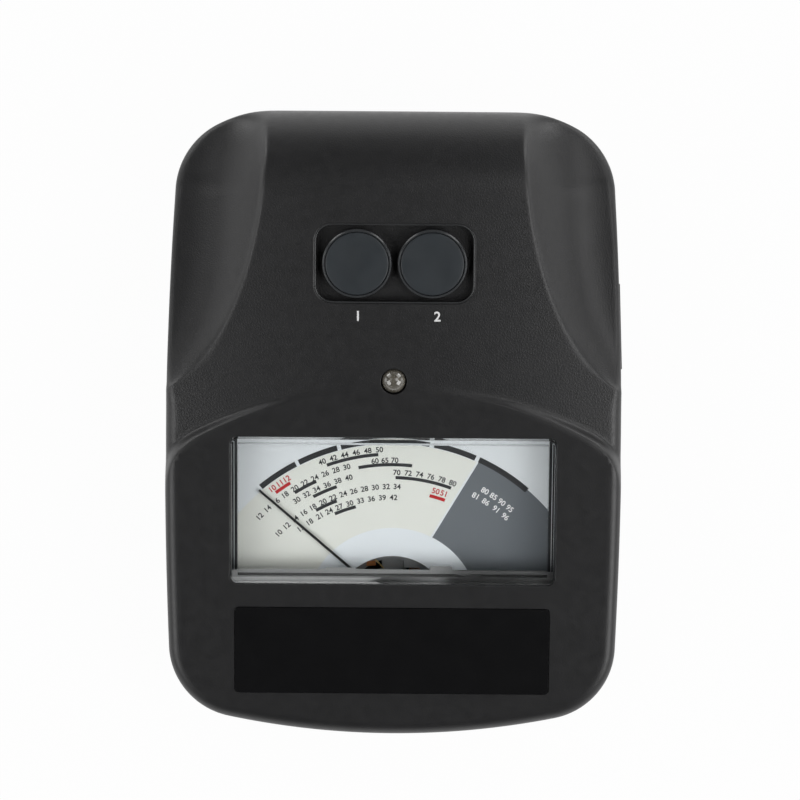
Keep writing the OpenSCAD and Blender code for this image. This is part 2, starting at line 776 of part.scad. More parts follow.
module button_clip(i) {
    color([0.6, 0.6, 0.62]) on_face(buttons_at) translate([button_x[i], 0, 0]) difference() {
        rod(stem_r + 1.6, guide_n - 0.65, guide_n - 0.15);
        rod(stem_r - 0.5, guide_n - 1, guide_n);
        box(-stem_r + 1.2, stem_r - 1.2, 0, 2 * stem_r, guide_n - 1, guide_n);
    }
}

module contact_pill(i) {
    color([0.08, 0.08, 0.08]) on_face(buttons_at)
        translate([button_x[i], 0, 0]) rod(2.4, pill_n, pill_n + pill_t);
}

module left_button_cap() {
    button_cap(0);
}

module left_button_face() {
    button_face(0);
}

module left_button_spring() {
    button_spring(0);
}

module left_button_clip() {
    button_clip(0);
}

module left_contact_pill() {
    contact_pill(0);
}

module right_button_cap() {
    button_cap(1);
}

module right_button_face() {
    button_face(1);
}

module right_button_spring() {
    button_spring(1);
}

module right_button_clip() {
    button_clip(1);
}

module right_contact_pill() {
    contact_pill(1);
}

module ready_lamp() {
    r = lamp_d / 2;
    color([0.8, 0.82, 0.84, 0.6]) on_face(lamp_at) {
        rod(r + 0.5, -8, -7);
        rod(r, -7, -r + 1.2);
        intersection() {
            translate([0, 0, -r + 1.2]) sphere(r);
            rod(r + 1, -r + 1.2, r + 1);
        }
    }
}

module lamp_holder() {
    color([0.12, 0.12, 0.12]) on_face(lamp_at) rod(lamp_d / 2 + 0.4, -board_depth, -8);
}

module circuit_board() {
    color([0.1, 0.35, 0.2]) difference() {
        on_face() box(-board_w / 2, board_w / 2, board_low_v, board_high_v,
            -board_depth - board_t, -board_depth);
        at_board_posts() rod(1.1, -board_depth - board_t - 1, -board_depth + 0.01);
    }
}

module board_screws() {
    color([0.7, 0.7, 0.72]) at_board_posts() {
        rod(1.8, -board_depth - board_t - 1.2, -board_depth - board_t);
        rod(0.85, -board_depth - board_t, -board_depth + 6);
    }
}

module board_components() {
    n = -board_depth - board_t;
    color([0.1, 0.1, 0.12]) on_face() {
        box(-7, 7, buttons_at - 18, buttons_at - 8, n - 1.8, n);
        box(-22, -14, buttons_at - 16, buttons_at - 8, n - 1.5, n);
        for (x = [12, 19]) translate([x, buttons_at - 13, 0]) rod(2.5, n - 6, n);
        for (x = [-20, -12, 12, 20]) box(x - 1.6, x + 1.6, buttons_at + 8, buttons_at + 10, n - 1, n);
    }
}

module contact_pads() {
    color([0.85, 0.7, 0.3]) for (x = button_x, s = [-1, 1]) on_face(buttons_at)
        translate([x, 0, 0]) box(s * 1.4 - 1, s * 1.4 + 1, -2.2, 2.2, -board_depth, -board_depth + 0.04);
}

module switch_body() {
    l = switch_l / 2;
    h = switch_h / 2;
    color([0.08, 0.08, 0.08]) on_switch() difference() {
        union() {
            box(0, bezel_t, -l, l, -h, h);
            box(-9, 0.5, -l + 1, l - 1, -h + 1, h - 1);
            for (s = [-1, 1]) translate([0, s * 3, 0]) box(-13, -8, -1.6, 1.6, -0.4, 0.4);
            for (s = [-1, 1]) translate([0, s * (l - 1.4), 0])
                box(-wall - 1.6, -wall - 0.4, -1.2, 1.2, -2, 2);
        }
        box(rocker_x - 0.1, 3, -rocker_r - 0.3, rocker_r + 0.3, -rocker_h / 2 - 0.3, rocker_h / 2 + 0.3);
        translate([rocker_x, 0, 0]) rod(rocker_r + 0.3, -rocker_h / 2 - 0.3, rocker_h / 2 + 0.3);
        translate([rocker_x, 0, 0]) rod(1.05, -rocker_h / 2 - 0.9, rocker_h / 2 + 0.9);
    }
}

// Rocker with two flat keys, turned so that its back end stands out at rest
module power_rocker() {
    color([0.13, 0.13, 0.13]) on_switch() translate([rocker_x, 0, 0]) {
        rotate([0, 0, -rocker_swing / 2]) intersection() {
            rod(rocker_r, -rocker_h / 2, rocker_h / 2);
            for (s = [-1, 1]) rotate([0, 0, -s * rocker_swing / 2])
                box(-rocker_r, key_rise, min(-s, 9 * s), max(-s, 9 * s), -rocker_h / 2, rocker_h / 2);
        }
        rod(1, -rocker_h / 2 - 0.6, rocker_h / 2 + 0.6);
    }
}

module probe_socket() {
    color([0.1, 0.1, 0.1]) on_socket(-1) difference() {
        union() {
            rod(3.9, -wall - 1, -0.05);
            box(-5.5, 5.5, -4.5, 4.5, -wall - 12, -wall - 0.02);
        }
        rod(probe_bore_d / 2, -wall - 10, 1);
    }
}

module power_socket() {
    r = power_bore_d / 2;
    color([0.1, 0.1, 0.1]) on_socket(1) {
        difference() {
            union() {
                rod(4.9, -wall - 1, -0.05);
                box(-5.5, 5.5, -5.5, 5.5, -wall - 11, -wall - 0.02);
            }
            rod(r, -wall - 9, 1);
        }
        rod(1, -wall - 9.5, -1.2);
    }
}

module battery_cells() {
    color([0.75, 0.5, 0.2]) for (i = [-1, 0, 1])
        translate([i * cell_pitch, bay_y + bay_l / 2, cell_z]) rotate([i == 0 ? 90 : -90, 0, 0])
            translate([0, 0, -bay_l / 2 + 3]) {
                cylinder(r = cell_d / 2, h = cell_l - 1);
                rod(1.9, cell_l - 1.1, cell_l);
            }
}

// A plate at each end of a cell, with a spring cup at the flat end
module battery_contacts() {
    color([0.78, 0.78, 0.8]) for (i = [-1, 0, 1])
        translate([i * cell_pitch, bay_y + bay_l / 2, cell_z]) rotate([i == 0 ? 90 : -90, 0, 0]) {
            translate([-3.6, -3.6, bay_l / 2 - 0.5]) cube([7.2, 7.2, 0.5]);
            translate([-3.6, -3.6, -bay_l / 2]) cube([7.2, 7.2, 0.5]);
            translate([0, 0, -bay_l / 2]) difference() {
                cylinder(r1 = 3.2, r2 = 2.4, h = 3);
                translate([0, 0, 0.5]) cylinder(r1 = 2.7, r2 = 1.9, h = 3);
            }
        }
}

top_housing();
bottom_housing();
battery_door();
housing_screws();
rubber_feet();
face_plate();
meter_cover();
meter_case();
meter_screws();
dial_plate();
dial_screws();
mask_plate();
yoke_ring();
magnet_core();
core_supports();
bearing_bridge();
jewel_screws();
stop_pins();
moving_coil();
coil_pivots();
needle();
balance_weights();
meter_terminals();
terminal_nuts();
left_button_cap();
left_button_face();
left_button_spring();
left_button_clip();
left_contact_pill();
right_button_cap();
right_button_face();
right_button_spring();
right_button_clip();
right_contact_pill();
ready_lamp();
lamp_holder();
circuit_board();
board_screws();
board_components();
contact_pads();
switch_body();
power_rocker();
probe_socket();
power_socket();
battery_cells();
battery_contacts();
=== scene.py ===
"""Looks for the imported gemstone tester: moulded housing, printed dial, clear cover and studio light."""

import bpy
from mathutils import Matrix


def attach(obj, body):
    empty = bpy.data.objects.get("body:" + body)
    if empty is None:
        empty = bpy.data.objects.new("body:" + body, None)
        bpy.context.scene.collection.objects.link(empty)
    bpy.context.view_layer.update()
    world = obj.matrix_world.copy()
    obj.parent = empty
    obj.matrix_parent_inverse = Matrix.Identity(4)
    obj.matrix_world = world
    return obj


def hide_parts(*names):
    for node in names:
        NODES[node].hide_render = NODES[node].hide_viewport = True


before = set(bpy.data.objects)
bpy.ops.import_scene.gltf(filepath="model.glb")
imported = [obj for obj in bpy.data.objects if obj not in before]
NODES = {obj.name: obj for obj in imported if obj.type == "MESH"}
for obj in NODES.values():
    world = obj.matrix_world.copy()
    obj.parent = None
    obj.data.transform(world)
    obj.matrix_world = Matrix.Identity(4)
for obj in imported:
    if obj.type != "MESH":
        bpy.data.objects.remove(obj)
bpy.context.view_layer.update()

import math

import bmesh
import bpy
import numpy as np
from mathutils import Vector, geometry, kdtree

MM = 0.001
FAR = 1e6

# Reach of blocks past the surface that they cut or join, sides of a fine turned piece, mesh limits
PAST, FINE_TURN = 1.0, 72
JOIN_GAP, LEAST_AREA = 1e-5, 1e-7

# Sizes of the body in millimetres, which follow the part's source
HALF_W, HALF_L, FRONT_H = 54.6, 75.1, 23.0
TILT = math.radians(12.0)
SIN, COS, TAN = math.sin(TILT), math.cos(TILT), math.tan(TILT)
FACE_Z0 = FRONT_H + HALF_L * TAN
FOOT_H, SEAM_Z, WALL, TOP_WALL = 2.0, 15.0, 2.4, 2.5
FRONT_R, FRONT_CORNER_R = 195.0, 18.0
SIDE_R, SIDE_Y = 1200.0, -13.0
BACK_FLAT, BACK_SHOULDER_R, BACK_CORNER_R = 27.0, 35.0, 18.0
ROLL_R, ROLL_EASE, PANEL_STEP, CROWN_R, CROWN_REACH = 18.0, 0.12, 0.15, 430.0, 70.0
ROLL_Y = HALF_L - ROLL_R
ROLL_Z = FACE_Z0 + ROLL_Y * TAN - PANEL_STEP - (ROLL_R - ROLL_EASE) / COS
ARCH_Y, ARCH_R = -95.0, 104.0
CREASE_X, CREASE_Y, CREASE_SPREAD, CREASE_LEN = 30.7, 68.7, 33.0, 63.2
SCOOP_RATIO, SCOOP_CURL, LEAST_DEPTH = 0.65, 3.0, 0.05

# Blends of the dressed surface alone: higher shoulder, straighter tips of the scoops, round panel corners
SHOULDER_Z = 35.5
TIP_RATIO, TIP_CURL, TIP_WIDTHS = 0.85, 1.3, (5.0, 20.0)
PANEL_SIDE, PANEL_CORNER, ARCH_EASE = 55.9, 9.0, (-1.3, 1.0)
ROLL_BLEND, CREASE_BLEND, CREASE_WIDTH, LEAST_WIDTH = 0.25, 1.1, 9.0, 0.3
EDGE_R = {"front": 2.7, "side": 1.2, "back": 2.0, "end": 0.5}
EDGE_FROM = {"side": (2, 14), "back": (40, 62), "end": (64, 75.6)}
PANEL_GRAIN, GRAIN_EASE = 0.3, (-2, 2)

# Openings in the face: middle along the slope, width, length, corner radius. The lips are rounded
WINDOW = (-21.25, 77.9, 36.1, 1.75)
PLATE = (21.0 - HALF_L / COS, 75.9, 21.4, 1.1)
POCKET = (38.8, 37.8, 18.9, 4.2)
LAMP = (10.45, 6.2, 6.2, 3.099)
LIPS = ((WINDOW, 0.3), (POCKET, 0.4), (LAMP, 0.15))
PLATE_SINK, PLATE_EDGE, PLATE_LEAST_R = 0.25, 0.04, 0.3

# Button pocket, buttons with their marks, and the lens of the lamp, with heights on the face
POCKET_N, TRAY_TOP_N, TRAY_N, SEAT_N, GUIDE_N = -2.9, -1.6, -5.1, -5.9, -9.3
POCKET_GAP, TRAY_WALL = 0.04, 1.8
GUIDE_R, SEAT_R, STEM_R, GUIDE_ROOT = 7.0, 6.3, 4.08, 0.5
BEAD_R, BEAD_INSET, BEAD_DEPTH, BEAD_SIDES = 0.2, 0.12, 0.3, 10
BUTTON_X, PAD_R, PAD_LOW_N, PAD_RISE, PAD_DOME = (-8.9, 8.9), 7.5, -0.4, 0.18, 0.1
PAD_EDGE = ((0.0, 0.0), (0.04, 0.09), (0.14, 0.15), (0.3, PAD_RISE))
PAD_RINGS = (0.9, 0.7, 0.5, 0.3, 0.15, 0.01)
KEY_MARKS, KEY_MARK_Y = (("1", -8.6), ("2", 10.2)), 25.7
KEY_MARK_CAP, KEY_MARK_LIFT, KEY_MARK_THICK = 2.4, 0.005, 0.05
LENS_R, LENS_FLANGE_R, LENS_ARC = 3.0, 3.5, (0.1, 1.55, 14)
LENS_LOW_N, LENS_FLANGE_N, LENS_DOME_N = -8.0, -7.0, -1.8

# Seam, wall openings and lower half of the housing
SEAM_BEVEL, LIP_H, LIP_GAP, LIP_OUTER, LIP_INNER = 0.3, 1.4, 0.2, 1.2, 1.4
RIM_BLEND, BASE_R, WALL_ROWS = 8.0, 1.5, (0.12, 1, 8)
SOCKETS, SOCKET_Z, SOCKET_DEPTH = ((-21.5, 4.0), (21.5, 5.0)), 24.0, 8.0
SWITCH_Y, SWITCH_Z, SWITCH_L, SWITCH_H, SWITCH_CUT = 24.0, 22.5, 13.4, 8.8, (-8.0, 3.0)
FRAME_L, FRAME_H, FRAME_RISE, FRAME_ROOT, FRAME_DRAW = 20.8, 13.2, 0.5, 0.4, 0.25
BEZEL_L, BEZEL_H, BEZEL_GAP, BEZEL_CUT = 15.0, 10.4, 0.1, (-2.0, 2.0)
BOSS_Y, BOSS_INSET, BOSS_R, SCREW_R = (-33.0, 44.0), 5.6, 3.6, 1.6
WELL_R, WELL_TOP, SCREW_TOP = 3.1, 7.0, 16.0
FOOT_INSET, FOOT_R, FOOT_TOP = 16.0, 5.6, 2.4
BAY_HALF, BAY_Y0, BAY_Y1, BAY_TOP, BAY_WALL = 16.45, 18.0, 66.0, 15.2, 1.6
SLOT_HALF, SLOT_Y, SLOT_TOP, TONGUE_HALF, TONGUE_Z = 18.45, 14.0, 3.95, 19.65, 2.8
RAIL_HALF, RAIL_Y, RAIL_RISE = 21.25, 12.5, 1.1

# Dial: height on the face, notch and middles of its arcs along the slope. Where mask and cells change tone
DIAL_N, NOTCH_V, NOTCH_R = -9.0, -48.4, 14.0
DIAL_BOX = (-38.2, 38.2, -42.8, -3.2)
RING_R, SCALE_V, FIELD_R, BAR_R, BAR_W, THIN_BAR_W = 21.0, -55.2, 48.6, 49.4, 1.35, 0.8
DIVIDE_V, DIVIDE_TURN, DIVIDE_GAP = -45.5, math.radians(30.4), 0.5
FIELD_REACH, FIELD_LAP, RING_GAP, BORDER_W, INK = (-80, 80), 0.2, 0.1, 0.7, 0.03
MASK_HALF, MASK_STRIP, CELL_BAND = 38.5, (-38.35, -38.2), (53.0, 53.2)

# Print of the dial. Angles are in degrees to the right of straight up, radii lie round the scale's middle
WIDE_BARS = ((-40.2, -28.4), (-27.4, -15.9), (-14.8, 10.2), (11.5, 23.6), (24.7, 40.8))
THIN_BARS = (
    (46.1, -20.3, -4.5), (43.5, -11.1, 6.0), (40.3, 0.8, 20.3), (43.4, -33.1, -25.3),
    (40.3, -28.5, -19.7), (37.0, -30.1, -21.5), (34.2, -24.2, -15.2),
)
RED_BARS = ((46.05, -37.9, -32.6), (36.95, 13.8, 19.8))

# Rows of numbers: radius, first and last angle, first number, step
SCALE_ROWS = (
    (47.3, -22.3, -3.0, 40, 2), (44.6, -6.8, 1.6, 60, 5), (41.6, 0.0, 21.4, 70, 2),
    (44.3, -47.6, -13.5, 12, 2), (41.6, -35.1, -13.7, 30, 2), (38.1, -47.5, 2.8, 10, 2),
    (35.4, -40.2, 1.6, 15, 3),
)
LIGHT_ROWS = ((43.3, 29.6, 41.8, 80, 5), (41.1, 27.6, 42.6, 81, 5))
RED_ROWS = ((47.35, -38.9, -31.6, 10, 1), (38.45, 14.2, 19.8, 50, 1))

# Heights of the numbers, their bolder stroke, and half a number and their pitch in heights
NUMBER_CAP, BOLD_CAP, BOLD, HALF_NUMBER, NUMBER_PITCH = 1.35, 1.4, 0.02, 0.65, 1.95

# Small parts in the notch of the dial: corners on the face, low and high side
LEAD_TAG = ((-6.4, -37.4), (-4.0, -37.2), (-4.2, -36.0), (-6.2, -36.2))
ZERO_LEVER = ((-4.3, -35.8), (-2.3, -37.9), (-2.05, -37.7), (-4.0, -35.6))
COIL_GUARD = ((2.7, -37.7), (7.6, -37.7), (7.0, -36.3), (5.0, -35.4), (2.7, -35.0))
ON_YOKE_N, LEVER_N = (-10.98, -10.7), (-10.6, -10.4)

# Mesh lines of the top, by distance from outline, lips, plate, creases and arch, and the grid between them
RIM_STEPS = (0, 0.05, 0.2, 0.44, 0.76, 1.16, 1.6, 2.1, 2.7, 3.5, 4.6)
LIP_STEPS = (0, 0.06, 0.2, 0.4, 0.68, 1, 2.4)
PLATE_STEPS = (-0.5, -0.05, 0.05, 0.6)
CREASE_STEPS = (-2, -1.2, -0.7, -0.35, 0, 0.35, 0.7, 1.2, 2, 3.2)
ARCH_STEPS = (-2.4, -1.3, -0.95, -0.6, -0.2, 0.2, 0.6, 0.95, 1.8)
CREASE_FROM, CREASE_TO, ARCH_TURN = 6.5, 77.0, 0.62
GRID_PITCH, GRID_ROW, GRID_RIM_GAP, GRID_LINE_GAP, LINE_RIM_GAP = 1.6, 0.866, 5.3, 0.8, 0.35

# Finish: angles in degrees, share of plain white in the floor, tone and top of the sky, aim of the lights
BEVEL_ANGLE, SMOOTH_ANGLE, SHARP_ANGLE = 40, 32, 38
FLOOR_WHITE, SKY_LOW, SKY_TOP_Z, LIGHT_AIM = 0.97, 0.43, 0.6, (0, 0, 0.03)


# Plan outline of the body

def meet(c1, r1, c2, r2):
    """Point where two circles cross, on the left of the way from the first middle to the second."""
    step = c2 - c1
    far = np.hypot(*step)
    near = (r1 * r1 - r2 * r2 + far * far) / (2 * far)
    e = step / far
    return c1 + near * e + math.sqrt(r1 * r1 - near * near) * np.array([-e[1], e[0]])


BOW_C = np.array([HALF_W - SIDE_R, SIDE_Y])
FRONT_C = np.array([0.0, FRONT_R - HALF_L])
FRONT_CORNER_C = meet(FRONT_C, FRONT_R - FRONT_CORNER_R, BOW_C, SIDE_R - FRONT_CORNER_R)
BACK_C = np.array([BACK_FLAT, HALF_L - BACK_SHOULDER_R])
BACK_CORNER_C = meet(BOW_C, SIDE_R - BACK_CORNER_R, BACK_C, BACK_SHOULDER_R - BACK_CORNER_R)


def bearing(a, b):
    return math.atan2(b[1] - a[1], b[0] - a[0])


def arc(c, r, a0, a1, n):
    turn = a0 + (a1 - a0) * np.arange(n) / n
    return np.stack([c[0] + r * np.cos(turn), c[1] + r * np.sin(turn)], 1)


def outline(inset):
    """Plan outline moved in by inset, anticlockwise from the middle of the front."""
    a1 = bearing(FRONT_C, FRONT_CORNER_C)
    a2 = bearing(BOW_C, FRONT_CORNER_C)
    a3 = bearing(BOW_C, BACK_CORNER_C)
    a4 = bearing(BACK_C, BACK_CORNER_C)
    back = np.linspace(BACK_FLAT, 0.0, 23)
    right = np.concatenate(
        [
            arc(FRONT_C, FRONT_R - inset, -math.pi / 2, a1, 26),
            arc(FRONT_CORNER_C, FRONT_CORNER_R - inset, a1, a2, 30),
            arc(BOW_C, SIDE_R - inset, a2, a3, 64),
            arc(BACK_CORNER_C, BACK_CORNER_R - inset, a3, a4, 28),
            arc(BACK_C, BACK_SHOULDER_R - inset, a4, math.pi / 2, 12),
            np.stack([back, np.full(len(back), HALF_L - inset)], 1),
        ]
    )
    left = right[-2:0:-1] * (-1, 1)
    return np.concatenate([right, left])


RIM = outline(0.0)


def from_rim(x, y):
    """Distance in from the outline, and the direction that leads inwards. It is negative outside."""
    run = np.roll(RIM, -1, 0) - RIM
    lead = np.stack([-run[:, 1], run[:, 0]], 1) / np.hypot(run[:, 0], run[:, 1])[:, None]
    best = np.full(len(x), FAR)
    inward = np.zeros((len(x), 2))
    for at, e in zip(RIM, lead):
        d = (x - at[0]) * e[0] + (y - at[1]) * e[1]
        closer = d < best
        best[closer] = d[closer]
        inward[closer] = e
    return best, inward


# Height of the moulded top

def smooth_min(a, b, k):
    h = np.clip(0.5 + 0.5 * (b - a) / k, 0, 1)
    return b * (1 - h) + a * h - k * h * (1 - h)


def ease(low, high, t):
    t = np.clip((t - low) / (high - low), 0, 1)
    return t * t * (3 - 2 * t)


def between(a, b, share):
    return a + (b - a) * share


def round_over(d, r):
    """Drop of an edge rounded to radius r, at distance d from it."""
    near = np.clip(r - d, 0, r)
    return r - np.sqrt(np.maximum(r * r - near * near, 0))


def side_x(y):
    """Distance of the bowed sides from the middle."""
    return HALF_W - SIDE_R + np.sqrt(SIDE_R**2 - (y - SIDE_Y) ** 2)


def crease_x(y):
    """Distance of a crease from the middle, and how it grows along the length."""
    t = np.clip((y - CREASE_Y) / CREASE_LEN, -0.999, 0.999)
    rest = np.sqrt(1 - t * t)
    return CREASE_X + CREASE_SPREAD * (1 - rest), CREASE_SPREAD * t / (CREASE_LEN * rest)


def crown(x):
    return (CROWN_R - np.sqrt(CROWN_R**2 - np.minimum(np.abs(x), CROWN_REACH) ** 2)) / COS


def off_panel(x, y):
    """Distance outside the meter panel: an arch that rounds into the sides of the body."""
    return -smooth_min(ARCH_R - np.hypot(x, y - ARCH_Y), PANEL_SIDE - np.abs(x), PANEL_CORNER)


def body_z(x, y):
    """Top of the form before its edges are rounded: crown, back roll, scoops and the meter panel."""
    a = np.abs(x)
    slope = FACE_Z0 + y * TAN
    over = np.clip(y - ROLL_Y, -ROLL_R * SIN, ROLL_R)
    roll = ROLL_Z + np.sqrt(np.maximum(ROLL_R**2 - over**2, 0))
    line = smooth_min(slope - PANEL_STEP, roll, ROLL_BLEND)
    edge, _ = crease_x(y)
    width = side_x(np.minimum(y, HALF_L)) - edge
    scooped_out = width > LEAST_WIDTH
    width = np.where(scooped_out, width, 1.0)
    crease = line - crown(edge)
    tip = 1 - ease(*TIP_WIDTHS, width)
    ratio = between(SCOOP_RATIO, TIP_RATIO, tip)
    curl = between(SCOOP_CURL, TIP_CURL, tip)
    depth = np.maximum(np.minimum(crease - SHOULDER_Z, ratio * width), LEAST_DEPTH)
    q = np.minimum((a - edge) / width, 1)
    cove = np.where(q < 0, curl * q, 1 - (1 - q) ** curl)
    flank = np.where(scooped_out, crease - depth * cove, FAR)
    soft = CREASE_BLEND * np.clip(width / CREASE_WIDTH, 0.1, 1)
    outside = smooth_min(line - crown(a), flank, soft)
    return between(slope, outside, ease(*ARCH_EASE, off_panel(x, y)))


def edge_radius(y):
    """Radius of the upper edge of the body along its length."""
    r = between(EDGE_R["front"], EDGE_R["side"], ease(*EDGE_FROM["side"], y))
    r = r + (EDGE_R["back"] - EDGE_R["side"]) * ease(*EDGE_FROM["back"], y)
    return between(r, EDGE_R["end"], ease(*EDGE_FROM["end"], y))


def off_rect(u, v, at, w, l, r):
    """Distance from a rounded rectangle on the face, negative inside."""
    qu, qv = np.abs(u) - w / 2 + r, np.abs(v - at) - l / 2 + r
    return np.hypot(np.maximum(qu, 0), np.maximum(qv, 0)) + np.minimum(np.maximum(qu, qv), 0) - r


def along_face(y, z):
    return y * COS + (z - FACE_Z0) * SIN


def skin_z(x, y, d):
    """Finished top surface, with its rounded edges and the shallow recess of the plate."""
    z = body_z(x, y)
    v = along_face(y, z)
    z = z - round_over(d, edge_radius(y))
    for shape, lip in LIPS:
        z = z - round_over(np.maximum(off_rect(x, v, *shape), 0), lip) / COS
    return z - PLATE_SINK * ease(PLATE_EDGE, -PLATE_EDGE, off_rect(x, v, *PLATE)) / COS


# Mesh building

def face_point(u, v, n):
    return (u, v * COS - n * SIN, FACE_Z0 + v * SIN + n * COS)


def round_rect(at, w, l, r, step=1.3, turn=8):
    """Closed loop of points (u, v) round a rounded rectangle."""
    points = []
    for cu, cv, a0 in ((1, -1, -90), (1, 1, 0), (-1, 1, 90), (-1, -1, 180)):
        for i in range(turn + 1):
            a = math.radians(a0 + 90 * i / turn)
            points.append((cu * (w / 2 - r) + r * math.cos(a), at + cv * (l / 2 - r) + r * math.sin(a)))
    loop = []
    for p, q in zip(points, points[1:] + points[:1]):
        n = max(1, int(math.dist(p, q) / step))
        loop += [(between(p[0], q[0], i / n), between(p[1], q[1], i / n)) for i in range(n)]
    return loop


def grown(shape, g, least_r=0.0):
    """Loop round a rounded rectangle made larger by g on every side."""
    at, w, l, r = shape
    return round_rect(at, w + 2 * g, l + 2 * g, max(r + g, least_r))


def on_plan(loop):
    """Plan points of a loop that lies on the face."""
    uv = np.array(loop)
    y = uv[:, 1] * COS
    for _ in range(3):
        n = -y * SIN + (body_z(uv[:, 0], y) - FACE_Z0) * COS
        y = uv[:, 1] * COS - n * SIN
    return np.stack([uv[:, 0], y], 1)


class Builder:
    """Collects points in millimetres and faces for one mesh."""

    def __init__(self):
        self.points, self.faces = [], []

    def ring(self, points):
        start = len(self.points)
        self.points += [tuple(p) for p in points]
        return list(range(start, len(self.points)))

    def bridge(self, a, b):
        n = len(a)
        self.faces += [(a[i], a[(i + 1) % n], b[(i + 1) % n], b[i]) for i in range(n)]

    def loft(self, rings):
        """Closed solid through rings of equal count, with flat ends."""
        made = [self.ring(r) for r in rings]
        for a, b in zip(made, made[1:]):
            self.bridge(a, b)
        self.faces += [tuple(made[0]), tuple(made[-1])]

    def mesh(self, name, weld=1e-4):
        bm = bmesh.new()
        verts = [bm.verts.new([c * MM for c in p]) for p in self.points]
        for f in dict.fromkeys(self.faces):
            if len(set(f)) > 2:
                bm.faces.new([verts[i] for i in f])
        bmesh.ops.remove_doubles(bm, verts=bm.verts, dist=weld * MM)
        bmesh.ops.delete(bm, geom=[v for v in bm.verts if not v.link_faces], context="VERTS")
        bmesh.ops.recalc_face_normals(bm, faces=bm.faces)
        data = bpy.data.meshes.new(name)
        bm.to_mesh(data)
        bm.free()
        return data


def linked(name, data):
    """New object in the scene."""
    o = bpy.data.objects.new(name, data)
    bpy.context.scene.collection.objects.link(o)
    return o


def add(name, data, material, body, replaces=(), sharp=SHARP_ANGLE):
    """Makes a piece of the object from a mesh."""
    piece = linked(name, data)
    data.materials.clear()
    data.materials.append(materials[material])
    if sharp:
        data.shade_smooth()
        data.set_sharp_from_angle(angle=math.radians(sharp))
    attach(piece, body)
    if replaces:
        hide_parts(*replaces)
    return piece


def combine(data, steps):
    """Runs boolean steps (operation, mesh) on a mesh and returns the result."""
    base = linked("boolean_base", data)
    tools = []
    for operation, mesh in steps:
        tool = linked("boolean_tool", mesh)
        cut = base.modifiers.new("cut", "BOOLEAN")
        cut.operation, cut.object, cut.solver = operation, tool, "MANIFOLD"
        tools.append(tool)
    bpy.context.view_layer.update()
    made = bpy.data.meshes.new_from_object(base.evaluated_get(bpy.context.evaluated_depsgraph_get()))
    for o in [base, *tools]:
        bpy.data.objects.remove(o)
    return made


def cylinder_mesh(rings, axis_point, n=64):
    """Closed turned solid: rings of (radius, height), each turned into points by axis_point(x, y, h)."""
    turn = 2 * np.pi * np.arange(n) / n
    b = Builder()
    b.loft([[axis_point(r * math.cos(a), r * math.sin(a), h) for a in turn] for r, h in rings])
    return b.mesh("turned")


def turned(rings, u, v, n=64):
    """Turned solid that stands on the face."""
    return cylinder_mesh(rings, lambda a, c, h: face_point(u + a, v + c, h), n)


def upright(rings, x, y):
    """Turned solid that stands on the table."""
    return cylinder_mesh(rings, lambda a, c, h: (x + a, y + c, h))


def back_hole(x, r):
    """Round hole for a socket through the back wall."""
    rings = [(r, -SOCKET_DEPTH), (r, 2)]
    return cylinder_mesh(rings, lambda a, c, h: (x + a, HALF_L + h, SOCKET_Z + c))


def block(half, y0, y1, z0, z1):
    """Block that lies evenly about the middle of the width."""
    b = Builder()
    b.loft([[(-half, y0, z), (half, y0, z), (half, y1, z), (-half, y1, z)] for z in (z0, z1)])
    return b.mesh("block")


def solid(loops, n0, n1):
    """Closed prisms on the face between two heights."""
    b = Builder()
    for loop in loops:
        b.loft([[face_point(u, v, n) for u, v in loop] for n in (n0, n1)])
    return b.mesh("prism")


def coordinates(data):
    """Points of a mesh, one in a row."""
    co = np.zeros(len(data.vertices) * 3, np.float32)
    data.vertices.foreach_get("co", co)
    return co.reshape(-1, 3)


def joined(meshes):
    """One mesh that holds several."""
    bm = bmesh.new()
    for m in meshes:
        bm.from_mesh(m)
    data = bpy.data.meshes.new("joined")
    bm.to_mesh(data)
    bm.free()
    return data


# Top half of the housing

def sheet_loops():
    """Closed mesh lines of the top: outline, lips of the openings and edge of the plate."""
    loops = [outline(d) for d in RIM_STEPS]
    for shape, lip in LIPS:
        loops += [on_plan(grown(shape, share * lip)) for share in LIP_STEPS]
    return loops + [on_plan(grown(PLATE, g, PLATE_LEAST_R)) for g in PLATE_STEPS]


def sheet_lines():
    """Open mesh lines of the top, along the creases and the arch."""
    lines = []
    ys = np.linspace(CREASE_FROM, CREASE_TO, 64)
    edge, lean = crease_x(ys)
    size = np.hypot(1, lean)
    for off in CREASE_STEPS:
        for s in (-1, 1):
            lines.append(np.stack([s * (edge + off / size), ys - off * lean / size], 1))
    turn = np.linspace(-ARCH_TURN, ARCH_TURN, 125)
    for off in ARCH_STEPS:
        r = np.full(len(turn), ARCH_R)
        for _ in range(20):
            r = r + off - off_panel(r * np.sin(turn), ARCH_Y + r * np.cos(turn))
        lines.append(np.stack([r * np.sin(turn), ARCH_Y + r * np.cos(turn)], 1))
    return lines


def sheet_grid(points):
    """Even grid of points inside the outline, clear of the mesh lines' points."""
    tree = kdtree.KDTree(len(points))
    for i, p in enumerate(points):
        tree.insert((p[0], p[1], 0), i)
    tree.balance()
    grid = []
    for j, y in enumerate(np.arange(-HALF_L, HALF_L, GRID_PITCH * GRID_ROW)):
        for x in np.arange(-HALF_W + (j % 2) * GRID_PITCH / 2, HALF_W, GRID_PITCH):
            grid.append((x, y))
    grid = np.array(grid)
    d, _ = from_rim(grid[:, 0], grid[:, 1])
    grid = grid[d > GRID_RIM_GAP]
    return [tuple(p) for p in grid if tree.find((p[0], p[1], 0))[2] > GRID_LINE_GAP]


